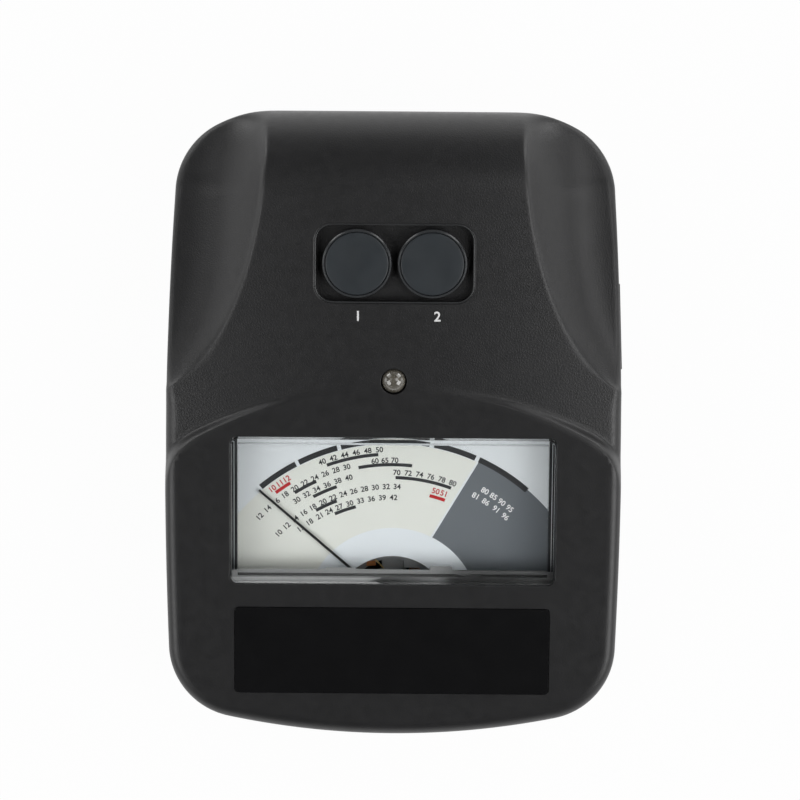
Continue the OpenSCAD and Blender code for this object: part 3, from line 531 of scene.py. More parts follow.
def top_sheet():
    """Plan triangles of the top, with edges along its mesh lines, and the points on the outline."""
    points, edges = [], []
    for loop in sheet_loops():
        n, start = len(loop), len(points)
        points += [tuple(p) for p in loop]
        edges += [(start + i, start + (i + 1) % n) for i in range(n)]
    for line in sheet_lines():
        d, _ = from_rim(line[:, 0], line[:, 1])
        inside = (d > LINE_RIM_GAP) & (np.abs(line[:, 0]) < HALF_W) & (line[:, 1] < HALF_L)
        start = len(points)
        kept = np.flatnonzero(inside)
        points += [tuple(line[i]) for i in kept]
        edges += [(start + i, start + i + 1) for i in range(len(kept) - 1) if kept[i + 1] == kept[i] + 1]
    points += sheet_grid(points)
    made = geometry.delaunay_2d_cdt([Vector(p) for p in points], edges, [], 0, JOIN_GAP, True)
    xy = np.array([tuple(p) for p in made[0]])
    tris = np.array([f for f in made[2] if len(f) == 3])
    where = {i: k for k, ids in enumerate(made[3]) for i in ids}
    mid = xy[tris].mean(1)
    v = along_face(mid[:, 1], body_z(mid[:, 0], mid[:, 1]))
    keep = from_rim(mid[:, 0], mid[:, 1])[0] > 0
    for shape, _ in LIPS:
        keep &= off_rect(mid[:, 0], v, *shape) > 0
    a, b, c = xy[tris[:, 0]], xy[tris[:, 1]], xy[tris[:, 2]]
    area = (b[:, 0] - a[:, 0]) * (c[:, 1] - a[:, 1]) - (b[:, 1] - a[:, 1]) * (c[:, 0] - a[:, 0])
    keep &= np.abs(area) > LEAST_AREA
    return xy, tris[keep], [where[i] for i in range(len(RIM))]


def tray_mesh():
    """Closed tray under the button pocket, with the two stem guides."""
    steps = [("DIFFERENCE", solid([grown(POCKET, POCKET_GAP)], POCKET_N, 0.0))]
    for u in BUTTON_X:
        steps += [
            ("UNION", turned([(GUIDE_R, GUIDE_N), (GUIDE_R, TRAY_N + GUIDE_ROOT)], u, POCKET[0])),
            ("DIFFERENCE", turned([(SEAT_R, SEAT_N), (SEAT_R, 0)], u, POCKET[0])),
            ("DIFFERENCE", turned([(STEM_R, GUIDE_N - PAST), (STEM_R, 0)], u, POCKET[0])),
        ]
    return combine(solid([grown(POCKET, TRAY_WALL)], TRAY_N, TRAY_TOP_N), steps)


def switch_point(x, y, z):
    """Point given from the middle of the switch, +X out of the right-hand wall."""
    turn = math.asin((SWITCH_Y - SIDE_Y) / SIDE_R)
    out, along_wall = math.cos(turn), math.sin(turn)
    at = BOW_C[0] + SIDE_R * out
    return (at + x * out - y * along_wall, SWITCH_Y + x * along_wall + y * out, SWITCH_Z + z)


def switch_block(x0, x1, l, h, draw=0.0):
    """Block on the right-hand wall, round the middle of the switch. Its outer face may be drawn in."""
    corners = ((-1, -1), (1, -1), (1, 1), (-1, 1))
    b = Builder()
    b.loft([
        [switch_point(x, s * (l / 2 - cut), t * (h / 2 - cut)) for s, t in corners]
        for x, cut in ((x0, 0.0), (x1 - draw, 0.0), (x1, draw))
    ])
    return b.mesh("block")


def top_housing():
    """Upper half: moulded skin, its inside, the walls down to the seam, tray and wall openings."""
    xy, tris, rim = top_sheet()
    x, y = xy[:, 0], xy[:, 1]
    d, inward = from_rim(x, y)
    d[rim] = 0
    outer = np.stack([x, y, skin_z(x, y, d)], 1)
    push = np.where(d < RIM_BLEND, WALL * (1 - d / RIM_BLEND), 0)
    inner_y = y + inward[:, 1] * push + TOP_WALL * SIN
    inner = np.stack([x + inward[:, 0] * push, inner_y, body_z(x, y) - TOP_WALL * COS], 1)
    b = Builder()
    top = b.ring(outer)
    low = b.ring(inner)
    b.faces += [tuple(t) for t in tris] + [tuple(t[::-1] + len(top)) for t in tris]
    count = {}
    for t in tris:
        for i in range(3):
            key = (min(t[i], t[(i + 1) % 3]), max(t[i], t[(i + 1) % 3]))
            count[key] = count.get(key, 0) + 1
    on_rim = set(rim)
    for (i, j), times in count.items():
        if times == 1 and not (i in on_rim and j in on_rim):
            b.faces.append((top[i], top[j], low[j], low[i]))
    rows = [[top[i] for i in rim]]
    for share in np.linspace(*WALL_ROWS):
        rows.append(b.ring([(p[0], p[1], between(p[2], SEAM_Z + SEAM_BEVEL, share)) for p in outer[rim]]))
    lip_z = SEAM_Z + LIP_H + LIP_GAP
    for inset, z in ((SEAM_BEVEL, SEAM_Z), (LIP_OUTER, SEAM_Z), (LIP_OUTER, lip_z), (WALL, lip_z)):
        rows.append(b.ring([(p[0], p[1], z) for p in outline(inset)]))
    rows.append([low[i] for i in rim])
    for r0, r1 in zip(rows, rows[1:]):
        b.bridge(r0, r1)
    holes = joined([back_hole(*s) for s in SOCKETS] + [switch_block(*SWITCH_CUT, SWITCH_L, SWITCH_H)])
    return combine(b.mesh("top_housing_skin"), [("UNION", tray_mesh()), ("DIFFERENCE", holes)])


def bottom_housing():
    """Lower half: rounded base edge, lip, battery bay, door slot, screw wells and foot recesses."""
    base_z = FOOT_H + WALL
    turns = np.linspace(0, math.pi / 2, 6)
    rows = [(BASE_R * (1 - math.sin(t)), FOOT_H + BASE_R * (1 - math.cos(t))) for t in turns]
    rows += [(0, SEAM_Z - SEAM_BEVEL), (SEAM_BEVEL, SEAM_Z), (LIP_INNER, SEAM_Z)]
    rows += [(LIP_INNER, SEAM_Z + LIP_H), (WALL, SEAM_Z + LIP_H), (WALL, base_z)]
    b = Builder()
    b.loft([[(p[0], p[1], z) for p in outline(inset)] for inset, z in rows])
    bosses = [(s * (side_x(y) - BOSS_INSET), y) for s in (-1, 1) for y in BOSS_Y]
    feet = [(s * (HALF_W - FOOT_INSET), t * (HALF_L - FOOT_INSET)) for s in (-1, 1) for t in (-1, 1)]
    well = [(WELL_R, 0), (WELL_R, WELL_TOP), (SCREW_R, WELL_TOP), (SCREW_R, SCREW_TOP)]
    wells = [upright(well, *p) for p in bosses]
    recesses = [upright([(FOOT_R, 0), (FOOT_R, FOOT_TOP)], *p) for p in feet]
    posts = [upright([(BOSS_R, base_z - PAST), (BOSS_R, SEAM_Z)], *p) for p in bosses]
    bay = (BAY_HALF + BAY_WALL, BAY_Y0 - BAY_WALL, BAY_Y1 + BAY_WALL, base_z - PAST, BAY_TOP + BAY_WALL)
    back = HALF_L + PAST
    steps = [
        ("UNION", block(RAIL_HALF, RAIL_Y, HALF_L - LIP_OUTER, base_z - PAST, base_z + RAIL_RISE)),
        ("UNION", block(*bay)),
        ("UNION", joined(posts)),
        ("DIFFERENCE", block(BAY_HALF, BAY_Y0, BAY_Y1, 0, BAY_TOP)),
        ("DIFFERENCE", block(SLOT_HALF, SLOT_Y, back, 0, SLOT_TOP)),
        ("DIFFERENCE", block(TONGUE_HALF, SLOT_Y, back, TONGUE_Z, SLOT_TOP)),
        ("DIFFERENCE", joined(wells + recesses)),
    ]
    return combine(b.mesh("bottom_housing_skin"), steps)


# Parts of the materials

def fill(tree, inputs, values):
    """Gives inputs of a node plain values or links, by place or by name."""
    for key, value in values.items():
        entry = inputs[key.replace("_", " ") if isinstance(key, str) else key]
        if isinstance(value, bpy.types.NodeSocket):
            tree.links.new(value, entry)
        else:
            entry.default_value = value


def node(tree, kind, *values, operation=None, **named):
    """New node with filled inputs, the first ones in order and others by name."""
    made = tree.nodes.new(kind)
    if operation:
        made.operation = operation
    fill(tree, made.inputs, {**dict(enumerate(values)), **named})
    return made


def shader(name, **values):
    """Material, its node tree and its main shader, whose inputs get the values."""
    mat = bpy.data.materials.new(name)
    mat.use_nodes = True
    bsdf = mat.node_tree.nodes["Principled BSDF"]
    fill(mat.node_tree, bsdf.inputs, values)
    return mat, mat.node_tree, bsdf


def place(tree, stretch=(1, 1, 1)):
    """Coordinates in metres, fixed to the piece."""
    where = tree.nodes.new("ShaderNodeTexCoord").outputs["Object"]
    return node(tree, "ShaderNodeMapping", Vector=where, Scale=stretch).outputs["Vector"]


def along(tree, direction):
    """Distance in metres along a direction, fixed to the piece."""
    dot = node(tree, "ShaderNodeVectorMath", place(tree), direction, operation="DOT_PRODUCT")
    return dot.outputs["Value"]


def up_slope(v):
    """Distance of a line on the face along the slope, in metres from the middle of the frame."""
    return (v + FACE_Z0 * SIN) * MM


def noise(tree, where, size, detail=3.0, output="Fac"):
    """Noise whose features are about size millimetres across."""
    made = node(tree, "ShaderNodeTexNoise", Vector=where, Scale=1 / (size * MM), Detail=detail)
    return made.outputs[output]


def arithmetic(tree, operation, *values):
    return node(tree, "ShaderNodeMath", *values, operation=operation).outputs["Value"]


def spread(tree, value, low, high, from_low=0.3, from_high=0.7):
    return node(tree, "ShaderNodeMapRange", value, from_low, from_high, low, high).outputs["Result"]


def two_tone(tree, value, a, b, low=0.3, high=0.7):
    ramp = node(tree, "ShaderNodeValToRGB", value)
    first, last = ramp.color_ramp.elements
    first.position, last.position = low, high
    first.color, last.color = (*a, 1), (*b, 1)
    return ramp.outputs["Color"]


def greys(tree, value, stops):
    """Colour ramp through greys given from 0 to 255, with stops from place 0 to place 1."""
    ramp = node(tree, "ShaderNodeValToRGB", value)
    elements = ramp.color_ramp.elements
    for at, _ in stops[1:-1]:
        elements.new(at)
    for element, (_, grey) in zip(elements, stops):
        element.color = (*linear(grey, grey, grey), 1)
    return ramp.outputs["Color"]


def mix_shaders(tree, share, first, second):
    return node(tree, "ShaderNodeMixShader", share, first, second).outputs["Shader"]


def paint(tree, bsdf, colour, rough):
    fill(tree, bsdf.inputs, {"Base Color": colour, "Roughness": rough})


def bump(tree, bsdf, height, depth):
    """Relief of depth millimetres."""
    made = node(tree, "ShaderNodeBump", Strength=1.0, Distance=depth * MM, Height=height)
    tree.links.new(made.outputs["Normal"], bsdf.inputs["Normal"])


def tint(rgb, share):
    return tuple(c * share for c in rgb)


def linear(*rgb):
    """Scene colour of an sRGB colour given from 0 to 255."""
    shares = [c / 255 for c in rgb]
    return tuple(c / 12.92 if c <= 0.04045 else ((c + 0.055) / 1.055) ** 2.4 for c in shares)


# Materials

def plastic(name, rgb, rough, grain=0.25, depth=0.01, vary=0.12, uneven=0.05, gloss=0.5):
    """Moulded plastic: slight mottle, uneven sheen and a fine spark-eroded grain."""
    mat, tree, bsdf = shader(name, Specular_IOR_Level=gloss)
    where = place(tree)
    mottle = two_tone(tree, noise(tree, where, 9.0), tint(rgb, 1 - vary), tint(rgb, 1 + vary))
    sheen = spread(tree, noise(tree, where, 5.4), rough - uneven, rough + uneven)
    paint(tree, bsdf, mottle, sheen)
    bump(tree, bsdf, noise(tree, where, grain, 2.0), depth)
    return mat


def leather(name, rgb, rough, cell, depth, gloss):
    """Housing plastic with a leather-like moulded grain, weaker where the piece's grain value is low."""
    mat, tree, bsdf = shader(name, Specular_IOR_Level=gloss)
    where = place(tree)
    wobble = noise(tree, where, 1.6, 2.0, "Color")
    shift = node(tree, "ShaderNodeVectorMath", wobble, (0.7 * MM,) * 3, where, operation="MULTIPLY_ADD")
    cells = node(tree, "ShaderNodeTexVoronoi", Vector=shift.outputs["Vector"], Scale=1 / (cell * MM))
    cells.feature = "DISTANCE_TO_EDGE"
    pebbles = spread(tree, cells.outputs["Distance"], 0.0, 1.0, 0.0, 0.28)
    height = arithmetic(tree, "MULTIPLY_ADD", noise(tree, where, 0.22, 2.0), 0.35, pebbles)
    grain = tree.nodes.new("ShaderNodeAttribute")
    grain.attribute_name = "grain"
    bump(tree, bsdf, arithmetic(tree, "MULTIPLY", height, grain.outputs["Fac"]), depth)
    mottle = two_tone(tree, noise(tree, where, 6.0), tint(rgb, 0.95), tint(rgb, 1.05))
    sheen = spread(tree, noise(tree, where, 2.2), rough - 0.03, rough + 0.03)
    paint(tree, bsdf, mottle, sheen)
    return mat


def metal(name, rgb, rough, stretch=(1, 1, 12), size=0.8, depth=0.004):
    """Turned or drawn metal with fine lines and a slightly uneven finish."""
    mat, tree, bsdf = shader(name, Metallic=1.0)
    lines = noise(tree, place(tree, stretch), size, 4.0)
    colour = two_tone(tree, lines, tint(rgb, 0.88), tint(rgb, 1.05))
    paint(tree, bsdf, colour, spread(tree, lines, rough - 0.08, rough + 0.08))
    bump(tree, bsdf, lines, depth)
    return mat


def print_ink(name, rgb, rough=0.55):
    """Screen-printed ink or paper with a faint fibre."""
    mat, tree, bsdf = shader(name, Specular_IOR_Level=0.35)
    fibre = noise(tree, place(tree), 0.35)
    colour = two_tone(tree, fibre, tint(rgb, 0.97), tint(rgb, 1.02))
    paint(tree, bsdf, colour, spread(tree, fibre, rough - 0.04, rough + 0.06))
    bump(tree, bsdf, fibre, 0.004)
    return mat


def clear(name, rgb, rough, ior=1.49, haze=0.35):
    """Clear moulded plastic that lets lamp light through."""
    mat, tree, bsdf = shader(name, Base_Color=(*rgb, 1), IOR=ior, Transmission_Weight=1.0)
    cloud = spread(tree, noise(tree, place(tree), 14.0), rough * (1 - haze), rough * (1 + haze))
    tree.links.new(cloud, bsdf.inputs["Roughness"])
    through = node(tree, "ShaderNodeBsdfTransparent", Color=(*rgb, 1))
    shadow = tree.nodes.new("ShaderNodeLightPath").outputs["Is Shadow Ray"]
    surface = mix_shaders(tree, shadow, bsdf.outputs["BSDF"], through.outputs["BSDF"])
    tree.links.new(surface, tree.nodes["Material Output"].inputs["Surface"])
    return mat


def milky(name, rgb):
    """Diffused lamp lens: glossy, with light that spreads inside it."""
    mat, tree, bsdf = shader(
        name, Specular_IOR_Level=1.0, Coat_Weight=1.0, Subsurface_Weight=0.6,
        Subsurface_Radius=(1, 0.95, 0.85), Subsurface_Scale=1.2 * MM,
    )
    cloud = noise(tree, place(tree), 2.5)
    colour = two_tone(tree, cloud, tint(rgb, 0.92), tint(rgb, 1.06))
    paint(tree, bsdf, colour, spread(tree, cloud, 0.02, 0.05))
    return mat


def mask_material():
    """Grey mask over the movement, with a painted reflection of the cover's wall: its grey changes along
    its length and between its upper and lower parts.
    """
    mat, tree, bsdf = shader("mask_plastic")
    across = spread(tree, along(tree, (1, 0, 0)), 0.0, 1.0, -MASK_HALF * MM, MASK_HALF * MM)
    # Painted reflection of the cover's wall: greys from the left to the right end of the mask, for its
    # upper and its lower part
    upper = greys(tree, across, ((0.0, 154), (0.45, 148), (0.62, 140), (0.72, 86), (1.0, 82)))
    stops = ((0.0, 210), (0.42, 200), (0.5, 150), (0.64, 145), (0.68, 92), (1.0, 84))
    lower = greys(tree, across, stops)
    strip = spread(tree, along(tree, (0, COS, SIN)), 1.0, 0.0, *(up_slope(v) for v in MASK_STRIP))
    mix = tree.nodes.new("ShaderNodeMix")
    mix.data_type = "RGBA"
    fill(tree, mix.inputs, {"Factor": strip, 6: upper, 7: lower})
    grain = noise(tree, place(tree), 0.3)
    paint(tree, bsdf, mix.outputs[2], spread(tree, grain, 0.38, 0.46))
    bump(tree, bsdf, grain, 0.008)
    return mat


def board_material():
    """Green board laminate with tracks."""
    mat, tree, bsdf = shader("board_laminate", Roughness=0.35)
    where = place(tree)
    tracks = node(tree, "ShaderNodeTexVoronoi", Vector=where, Scale=1 / (4 * MM))
    tracks.distance = "MANHATTAN"
    lines = two_tone(tree, tracks.outputs["Distance"], (0.008, 0.05, 0.025), (0.015, 0.09, 0.04), 0.45, 0.5)
    tree.links.new(lines, bsdf.inputs["Base Color"])
    bump(tree, bsdf, noise(tree, where, 0.5), 0.01)
    return mat


def cell_material():
    """Wrapped battery cell: dark sleeve with a copper-coloured band at one end."""
    mat, tree, bsdf = shader("cell_sleeve")
    where = place(tree)
    band = spread(tree, along(tree, (0, 1, 0)), 0.0, 1.0, *(y * MM for y in CELL_BAND))
    sleeve = two_tone(tree, band, (0.012, 0.012, 0.014), (0.42, 0.16, 0.06), 0.4, 0.6)
    paint(tree, bsdf, sleeve, spread(tree, noise(tree, where, 3.0), 0.24, 0.36))
    bump(tree, bsdf, noise(tree, where, 0.6), 0.004)
    return mat


materials = {
    "housing": leather("housing_plastic", linear(33, 33, 34), 0.4, cell=0.65, depth=0.017, gloss=0.62),
    "base": plastic("base_plastic", linear(34, 34, 35), 0.5, grain=0.3, depth=0.02),
    "door": plastic("door_plastic", linear(35, 35, 36), 0.48, grain=0.3, depth=0.02),
    "button_rim": plastic("button_rim_plastic", linear(58, 60, 62), 0.2, grain=0.2, depth=0.002),
    "button_face": plastic("button_face_plastic", linear(50, 55, 59), 0.42, grain=0.18, depth=0.006),
    "plate": plastic(
        "plate_gloss", linear(22, 22, 23), 0.22, grain=0.6, depth=0.0015, vary=0.05, uneven=0.02
    ),
    "meter_case": plastic("meter_case_plastic", linear(38, 39, 41), 0.4, grain=0.3, depth=0.008),
    "mask": mask_material(),
    # Bead round the button pocket: glossy, so the lamps give it real highlights, and lighter than the
    # housing, a painted highlight line along every edge
    "bead": plastic("pocket_bead_painted_highlight", linear(64, 65, 66), 0.18, depth=0.002),
    "black": plastic("black_plastic", linear(28, 28, 29), 0.38, depth=0.008),
    "rocker": plastic("rocker_plastic", linear(33, 33, 34), 0.3, depth=0.006),
    "rubber": plastic("rubber_compound", linear(30, 30, 30), 0.75, grain=0.35, depth=0.02, gloss=0.3),
    "component": plastic("component_resin", linear(30, 30, 32), 0.45),
    "steel": metal("zinc_plated_steel", (0.62, 0.62, 0.63), 0.32),
    # Iron of the movement, painted much lighter than it is to make up for the shade in the dial's notch:
    # painted light
    "iron": plastic("iron_with_painted_light", linear(142, 143, 144), 0.45, grain=0.3),
    "brass": metal("turned_brass", (0.72, 0.50, 0.20), 0.28),
    "copper": metal(
        "enamelled_copper_wire", (0.62, 0.24, 0.09), 0.35, stretch=(1, 1, 16), size=0.5, depth=0.02
    ),
    "gold": metal("gold_plating", (0.80, 0.58, 0.24), 0.3),
    "needle": plastic("needle_paint", linear(24, 24, 25), 0.4, grain=0.3, depth=0.003),
    "dial": print_ink("dial_white", linear(243, 247, 250)),
    "ring": print_ink("dial_ring_white", linear(244, 249, 253)),
    "beige": print_ink("dial_beige", linear(243, 244, 237)),
    "slate": print_ink("dial_slate", linear(112, 117, 122)),
    "ink": print_ink("dial_black_ink", linear(52, 53, 55)),
    "red": print_ink("dial_red_ink", linear(196, 38, 42)),
    "white": print_ink("white_print", linear(248, 248, 248)),
    "cover": clear("clear_cover", (0.97, 0.98, 0.98), 0.02),
    "lens": milky("lamp_lens", linear(112, 108, 99)),
    "board": board_material(),
    "cell": cell_material(),
}


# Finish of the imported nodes

def smooth_group():
    """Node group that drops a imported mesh's normals and smooths it up to an angle."""
    group = bpy.data.node_groups.new("smooth_by_angle", "GeometryNodeTree")
    for side in ("INPUT", "OUTPUT"):
        group.interface.new_socket("Geometry", in_out=side, socket_type="NodeSocketGeometry")
    start, end = group.nodes.new("NodeGroupInput"), group.nodes.new("NodeGroupOutput")
    angle = group.nodes.new("GeometryNodeInputMeshEdgeAngle").outputs["Unsigned Angle"]
    limit = node(group, "FunctionNodeCompare", angle, math.radians(SMOOTH_ANGLE), operation="GREATER_THAN")
    sharp = limit.outputs["Result"]
    smooth = node(group, "GeometryNodeSetMeshNormal", Remove_Custom=True, Edge_Sharpness=sharp)
    group.links.new(start.outputs[0], smooth.inputs["Mesh"])
    group.links.new(smooth.outputs["Mesh"], end.inputs[0])
    return group


SMOOTH = smooth_group()


def keep_flat(o):
    """Keeps large flat faces evenly shaded beside rounded edges."""
    flat = o.modifiers.new("flat", "WEIGHTED_NORMAL")
    flat.weight, flat.keep_sharp = 100, True


def dress(name, material, bevel=0.0):
    """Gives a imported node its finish: material, rounded edges and smooth shading."""
    o = NODES[name]
    o.data.materials.clear()
    o.data.materials.append(materials[material])
    weld = o.modifiers.new("weld", "WELD")
    weld.merge_threshold = 0.002 * MM
    if bevel:
        edge = o.modifiers.new("edge", "BEVEL")
        edge.width, edge.segments, edge.limit_method = bevel * MM, 3, "ANGLE"
        edge.angle_limit = math.radians(BEVEL_ANGLE)
    smooth = o.modifiers.new("smooth", "NODES")
    smooth.node_group = SMOOTH
    if bevel:
        keep_flat(o)


for name, material, bevel in (
    ("battery_door", "door", 0.15), ("housing_screws", "steel", 0.08), ("rubber_feet", "rubber", 0.4),
    ("face_plate", "plate", 0.1), ("meter_cover", "cover", 0.25), ("meter_case", "meter_case", 0),
    ("meter_screws", "steel", 0.06), ("dial_plate", "dial", 0), ("dial_screws", "brass", 0.1),
    ("mask_plate", "mask", 0.12), ("yoke_ring", "iron", 0.15), ("magnet_core", "iron", 0.15),
    ("core_supports", "iron", 0.05), ("bearing_bridge", "brass", 0.1), ("jewel_screws", "brass", 0.06),
    ("stop_pins", "brass", 0.08), ("moving_coil", "copper", 0.15), ("coil_pivots", "steel", 0),
    ("needle", "needle", 0.05), ("balance_weights", "brass", 0.08), ("meter_terminals", "brass", 0.1),
    ("terminal_nuts", "brass", 0.1), ("lamp_holder", "black", 0.1), ("circuit_board", "board", 0.05),
    ("board_screws", "steel", 0.08), ("board_components", "component", 0.1), ("contact_pads", "gold", 0),
    ("switch_body", "black", 0.3), ("power_rocker", "rocker", 0.25), ("probe_socket", "black", 0.15),
    ("power_socket", "black", 0.15), ("battery_cells", "cell", 0.4), ("battery_contacts", "steel", 0.08),
):
    dress(name, material, bevel)
for side in ("left", "right"):
    dress(f"{side}_button_cap", "button_rim", 0.1)
    dress(f"{side}_button_spring", "steel")
    dress(f"{side}_button_clip", "steel", 0.04)
    dress(f"{side}_contact_pill", "rubber", 0.15)


# Housing halves and the frame of the switch

def set_grain(data):
    """Grain value of each point: full on the crowned top and scoops, weak on the meter panel."""
    co = coordinates(data) / MM
    grain = between(PANEL_GRAIN, 1.0, ease(*GRAIN_EASE, off_panel(co[:, 0], co[:, 1])))
    data.attributes.new("grain", "FLOAT", "POINT").data.foreach_set("value", grain.astype(np.float32))


upper_half = top_housing()
set_grain(upper_half)
add("top_housing_shell", upper_half, "housing", "housing", ["top_housing"])
lower_half = bottom_housing()
keep_flat(add("bottom_housing_shell", lower_half, "base", "housing", ["bottom_housing"]))

bezel_hole = switch_block(*BEZEL_CUT, BEZEL_L + 2 * BEZEL_GAP, BEZEL_H + 2 * BEZEL_GAP)
switch_trim = switch_block(-FRAME_ROOT, FRAME_RISE, FRAME_L, FRAME_H, FRAME_DRAW)
switch_trim = combine(switch_trim, [("DIFFERENCE", bezel_hole)])
add("switch_frame", switch_trim, "base", "housing")


# Buttons, pocket bead and lamp

flat_r = PAD_R - PAD_EDGE[-1][0]
pad = [(PAD_R, PAD_LOW_N)] + [(PAD_R - inset, n) for inset, n in PAD_EDGE]
pad += [(share * flat_r, PAD_RISE + PAD_DOME * (1 - share**2)) for share in PAD_RINGS]
for side, u in zip(("left", "right"), BUTTON_X):
    face = turned(pad, u, POCKET[0], FINE_TURN)
    replaced = [f"{side}_button_face"]
    add(f"{side}_button_pad", face, "button_face", f"{side}_button", replaced)


def bead(loop):
    """Closed round bead along a loop, a little under the crowned top."""
    b = Builder()
    rings, count = [], len(loop)
    turns = [2 * math.pi * j / BEAD_SIDES for j in range(BEAD_SIDES)]
    for i, (u, v) in enumerate(loop):
        du, dv = (loop[(i + 1) % count][k] - loop[i - 1][k] for k in (0, 1))
        size = math.hypot(du, dv)
        n = -PANEL_STEP - crown(u) * COS - BEAD_DEPTH
        ring = []
        for t in turns:
            out = BEAD_R * math.cos(t) / size
            ring.append(face_point(u + out * dv, v - out * du, n + BEAD_R * math.sin(t)))
        rings.append(b.ring(ring))
    for a, c in zip(rings, rings[1:] + rings[:1]):
        b.bridge(a, c)
    return b.mesh("bead")


# Light grey bead under the pocket's lip: a painted highlight line round the pocket, besides what the lamps
# light on it
add("pocket_highlight_bead", bead(grown(POCKET, -BEAD_INSET)), "bead", "housing")

lens = [(LENS_FLANGE_R, LENS_LOW_N), (LENS_FLANGE_R, LENS_FLANGE_N), (LENS_R, LENS_FLANGE_N)]
lens += [(LENS_R, LENS_DOME_N)]
lens += [(LENS_R * math.cos(a), LENS_DOME_N + LENS_R * math.sin(a)) for a in np.linspace(*LENS_ARC)]
lens_mesh = turned(lens, 0, LAMP[0], FINE_TURN)
add("ready_lamp_lens", lens_mesh, "lens", "housing", ["ready_lamp"])


# Small parts of the movement that show in the notch of the dial

add("coil_lead_tag", solid([LEAD_TAG], *ON_YOKE_N), "copper", "housing")
add("zero_lever", solid([ZERO_LEVER], *LEVER_N), "gold", "housing")
add("coil_guard", solid([COIL_GUARD], *ON_YOKE_N), "iron", "housing")


# Dial print

def clip(loop, a, b, limit):
    """Part of a polygon where a * u + b * v stays under the limit."""
    made = []
    for p, q in zip(loop, loop[1:] + loop[:1]):
        dp, dq = a * p[0] + b * p[1] - limit, a * q[0] + b * q[1] - limit
        if dp <= 0:
            made.append(p)
        if dp * dq < 0:
            t = dp / (dp - dq)
            made.append((between(p[0], q[0], t), between(p[1], q[1], t)))
    return made


def sweep(at, r, a0, a1):
    """Points of an arc round (0, at), angles in degrees to the right of straight up."""
    n = max(2, int(abs(a1 - a0) / 1.5))
    turns = [math.radians(between(a0, a1, i / n)) for i in range(n + 1)]
    return [(r * math.sin(a), at + r * math.cos(a)) for a in turns]


def band(at0, r0, at1, r1, a0, a1):
    """Area between two arcs from one angle to another, cut to the edges of the dial plate."""
    loop = sweep(at0, r0, a0, a1) + sweep(at1, r1, a1, a0)
    u0, u1, v0, v1 = DIAL_BOX
    for a, b, limit in ((-1, 0, -u0), (1, 0, u1), (0, -1, -v0), (0, 1, v1)):
        loop = clip(loop, a, b, limit)
    return loop


def bar(width, r, a0, a1):
    return band(SCALE_V, r + width / 2, SCALE_V, r - width / 2, a0, a1)


def field(r, side):
    """Field between the ring and the scale, left (-1) or right (1) of the dividing line."""
    a, b = math.cos(DIVIDE_TURN), -math.sin(DIVIDE_TURN)
    limit = -side * (b * DIVIDE_V + side * DIVIDE_GAP / 2)
    return clip(band(SCALE_V, r, NOTCH_V, RING_R, *FIELD_REACH), -side * a, -side * b, limit)


def dial_print(name, loops, material, layer):
    """Flat print on the dial, one ink thickness high, in layers."""
    n = DIAL_N + layer * INK
    add(name, solid(loops, n, n + INK), material, "housing")


ring = band(NOTCH_V, RING_R, NOTCH_V, NOTCH_R + RING_GAP, *FIELD_REACH)
dial_print("dial_ring", [ring], "ring", 0)
dial_print("dial_beige_field", [field(FIELD_R, -1)], "beige", 0)
dial_print("dial_slate_field", [field(BAR_R + FIELD_LAP, 1)], "slate", 0)
bars = [bar(BAR_W, BAR_R, *turns) for turns in WIDE_BARS] + [bar(THIN_BAR_W, *b) for b in THIN_BARS]
dial_print("dial_bars", bars, "ink", 1)
dial_print("dial_red_bars", [bar(THIN_BAR_W, *b) for b in RED_BARS], "red", 1)
left, right, low_v, high_v = DIAL_BOX
borders = [
    [(a, low_v), (b, low_v), (b, high_v), (a, high_v)]
    for a, b in ((left, left + BORDER_W), (right - BORDER_W, right))
]
dial_print("dial_borders", borders, "ink", 2)


def digits(text, cap, u, v, n, turn, thick):
    """Mesh of a number on the face, centred at (u, v) and turned to the right by turn degrees."""
    curve = bpy.data.curves.new("digits", "FONT")
    curve.body, curve.align_x, curve.align_y = text, "CENTER", "CENTER"
    curve.extrude, curve.offset = 0.5, BOLD
    probe = linked("digits", curve)
    bpy.context.view_layer.update()
    mesh = bpy.data.meshes.new_from_object(probe.evaluated_get(bpy.context.evaluated_depsgraph_get()))
    bpy.data.objects.remove(probe)
    co = coordinates(mesh)
    low, high = co.min(0), co.max(0)
    scale = cap / (high[1] - low[1])
    co = (co - (low + high) / 2) * (scale, scale, thick)
    a = math.radians(turn)
    pu = u + co[:, 0] * math.cos(a) + co[:, 1] * math.sin(a)
    pv = v - co[:, 0] * math.sin(a) + co[:, 1] * math.cos(a)
    placed = np.stack(face_point(pu, pv, n + co[:, 2]), 1) * MM
    mesh.vertices.foreach_set("co", placed.astype(np.float32).ravel())
    mesh.update()
    return mesh


def row(cap, r, a0, a1, first, step):
    """Numbers along an arc between two angles, as close as reading them allows."""
    half = math.degrees(HALF_NUMBER * cap / r)
    count = max(2, round((a1 - a0 - 2 * half) / math.degrees(NUMBER_PITCH * cap / r)) + 1)
    made = []
    for i, turn in enumerate(np.linspace(a0 + half, a1 - half, count)):
        a = math.radians(float(turn))
        u, v = r * math.sin(a), SCALE_V + r * math.cos(a)
        made.append(digits(str(first + i * step), cap, u, v, DIAL_N + 1.5 * INK, float(turn), INK))
    return made


def marks(name, meshes, material):
    """One piece of print from the meshes of its numbers."""
    data = joined(meshes)
    for mesh in meshes:
        bpy.data.meshes.remove(mesh)
    add(name, data, material, "housing", sharp=0)


for name, material, cap, rows in (
    ("dial_scale_numbers", "ink", NUMBER_CAP, SCALE_ROWS),
    ("dial_light_numbers", "white", BOLD_CAP, LIGHT_ROWS),
    ("dial_red_numbers", "red", BOLD_CAP, RED_ROWS),
):
    marks(name, [mesh for line in rows for mesh in row(cap, *line)], material)


